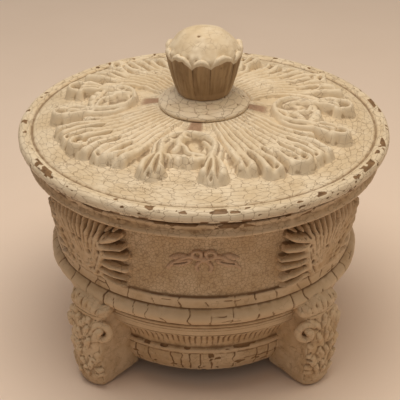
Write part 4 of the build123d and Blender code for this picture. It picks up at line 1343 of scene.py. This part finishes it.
def make_roll(corner, angle, side, seed):
    """Rolled leaf end that stands out from the edge between a foot's face and its side."""
    sweep = np.radians(np.linspace(150, -290, 90))
    share = np.linspace(0, 1, 90)
    radius = 3.9 - 2.6 * share
    tube = np.interp(share, (0, 0.1, 0.6, 0.93, 1), (0.9, 1.6, 1.4, 1.5, 0.8))
    lift = -1.4 * ease(0.25, 0, share) + 0.8 * ease(0.5, 1, share)
    across, up = radius * np.cos(sweep), radius * np.sin(sweep)
    ring = np.radians(np.arange(24) * 15)
    loops = []
    for k in range(90):
        last, past = max(k - 1, 0), min(k + 1, 89)
        step = (across[past] - across[last], up[past] - up[last])
        step = np.array(step) / np.hypot(*step)
        wide, high = tube[k] * np.cos(ring), tube[k] * np.sin(ring)
        loops.append(np.stack([across[k] + step[1] * wide, lift[k] + high, up[k] - step[0] * wide], 1))
    loops = np.array(loops)
    loops = loops + 0.14 * soft_noise(loops, 1.6, seed)[..., None]
    half = math.sqrt(0.5)
    r = ROLL[0] + half * (loops[..., 1] - loops[..., 0])
    s = side * (ROLL[1] + half * (loops[..., 1] + loops[..., 0]))
    x, y = around_axis(math.radians(angle), r, s)
    place = np.stack([x, y, ROLL[2] + loops[..., 2]], -1)
    name = "foot_roll_" + corner + {1: "_a", -1: "_b"}[side]
    stacked_piece(name, place, "relief_cream", foot_paint, [])


def make_pad(corner, angle):
    """Thin felt pad under a foot, with soft rounded edges."""
    turn = np.radians(np.arange(72) * 5)
    u, v = (np.sign(a) * np.abs(a) ** 0.8 for a in (np.cos(turn), np.sin(turn)))
    loops = []
    for height, inset in ((0.0, 0.25), (0.12, 0.05), (0.4, 0.0), (0.68, 0.05), (PAD_T, 0.25)):
        r, t = PAD_AT + (PAD_HALF[0] - inset) * u, (PAD_HALF[1] - inset) * v
        x, y = around_axis(math.radians(angle), r, t)
        loops.append(np.stack([x, y, np.full_like(x, height)], 1))
    name = "foot_pad_" + corner
    pad = stacked_piece("foot_pad_felt_" + corner, np.array(loops), "pad_felt", pad_felt, [name])


# ------------------------------------------------------------------ felt linings
def ceiling_z(radius):
    """Height of the lid's conical underside."""
    (near, top), (far, foot) = CEILING
    return top - (top - foot) / (far - near) * (radius - near)


def lining(skin, shown, cell, seed, piece, body, node):
    """Makes a felt lining whose visible face is a little uneven."""
    ripple = shown * (0.10 * soft_noise(skin.points(), cell, seed) - 0.12)
    return skin.piece(piece, ripple, body, "lining_felt", [lining_felt], node)


def make_linings():
    edge = node_reach("bowl_felt")
    foot, top = FLOOR_Z, FLOOR_Z + FELT_T
    outline = [(0, top), (edge - 0.4, top), (edge, top - 0.4)]
    outline += [(edge, foot + 0.2), (edge - 0.3, foot), (0, foot)]
    skin = Turned(outline, [1.2, 0.3, 0.3, 0.3, 4], 300, soften=0.1)
    above = skin.height > FLOOR_Z + 0.5
    disc = lining(skin, above, 9.0, 301, "bowl_felt_lining", "box", "bowl_felt")

    low, high = node_foot("wall_felt"), node_top("wall_felt")
    inner = BORE_R - FELT_T
    outline = [(inner, 60), (inner, low + 0.3), (inner + 0.3, low), (BORE_R, low), (BORE_R, high)]
    outline += [(inner + 0.3, high), (inner, high - 0.3), (inner, 60)]
    skin = Turned(outline, [0.8, 0.3, 0.4, 4, 0.4, 0.3, 0.8], 420, soften=0.1)
    near = skin.radius < inner + 0.4
    wall = lining(skin, near, 8.0, 303, "wall_felt_lining", "box", "wall_felt")
    middle = (inner + BORE_R) / 2

    inside, outside, middle = 15.0, node_reach("lid_felt"), 30
    outline = [(middle, ceiling_z(middle) - FELT_T), (inside, ceiling_z(inside) - FELT_T)]
    outline += [(inside, ceiling_z(inside)), (outside, ceiling_z(outside))]
    outline += [(outside, ceiling_z(outside) - FELT_T), outline[0]]
    skin = Turned(outline, [1.0, 0.4, 3, 0.4, 1.0], 300, soften=0.1)
    below = skin.height < ceiling_z(skin.radius) - 0.6
    cone = lining(skin, below, 8.0, 305, "lid_felt_lining", "lid", "lid_felt")


make_bowl()
make_plinth()
for number, (corner, angle) in enumerate(CORNERS.items()):
    spread = -PALMETTE_SPREAD * math.copysign(1, math.sin(math.radians(2 * angle)))
    make_palmette(corner, angle + spread, 401 + 9 * number)
    make_knee_leaf(corner, angle, 501 + 9 * number)
    make_foot(corner, angle, 601 + 9 * number)
    make_roll(corner, angle, 1, 631 + 9 * number)
    make_roll(corner, angle, -1, 634 + 9 * number)
    make_pad(corner, angle)
for number, (side, angle) in enumerate(SIDES.items()):
    make_garland(side, angle, 701 + 9 * number)
make_linings()
for node in ("knob_washer", "knob_screw"):
    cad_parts[node].data.materials.clear()
    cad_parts[node].data.materials.append(fastener_steel)
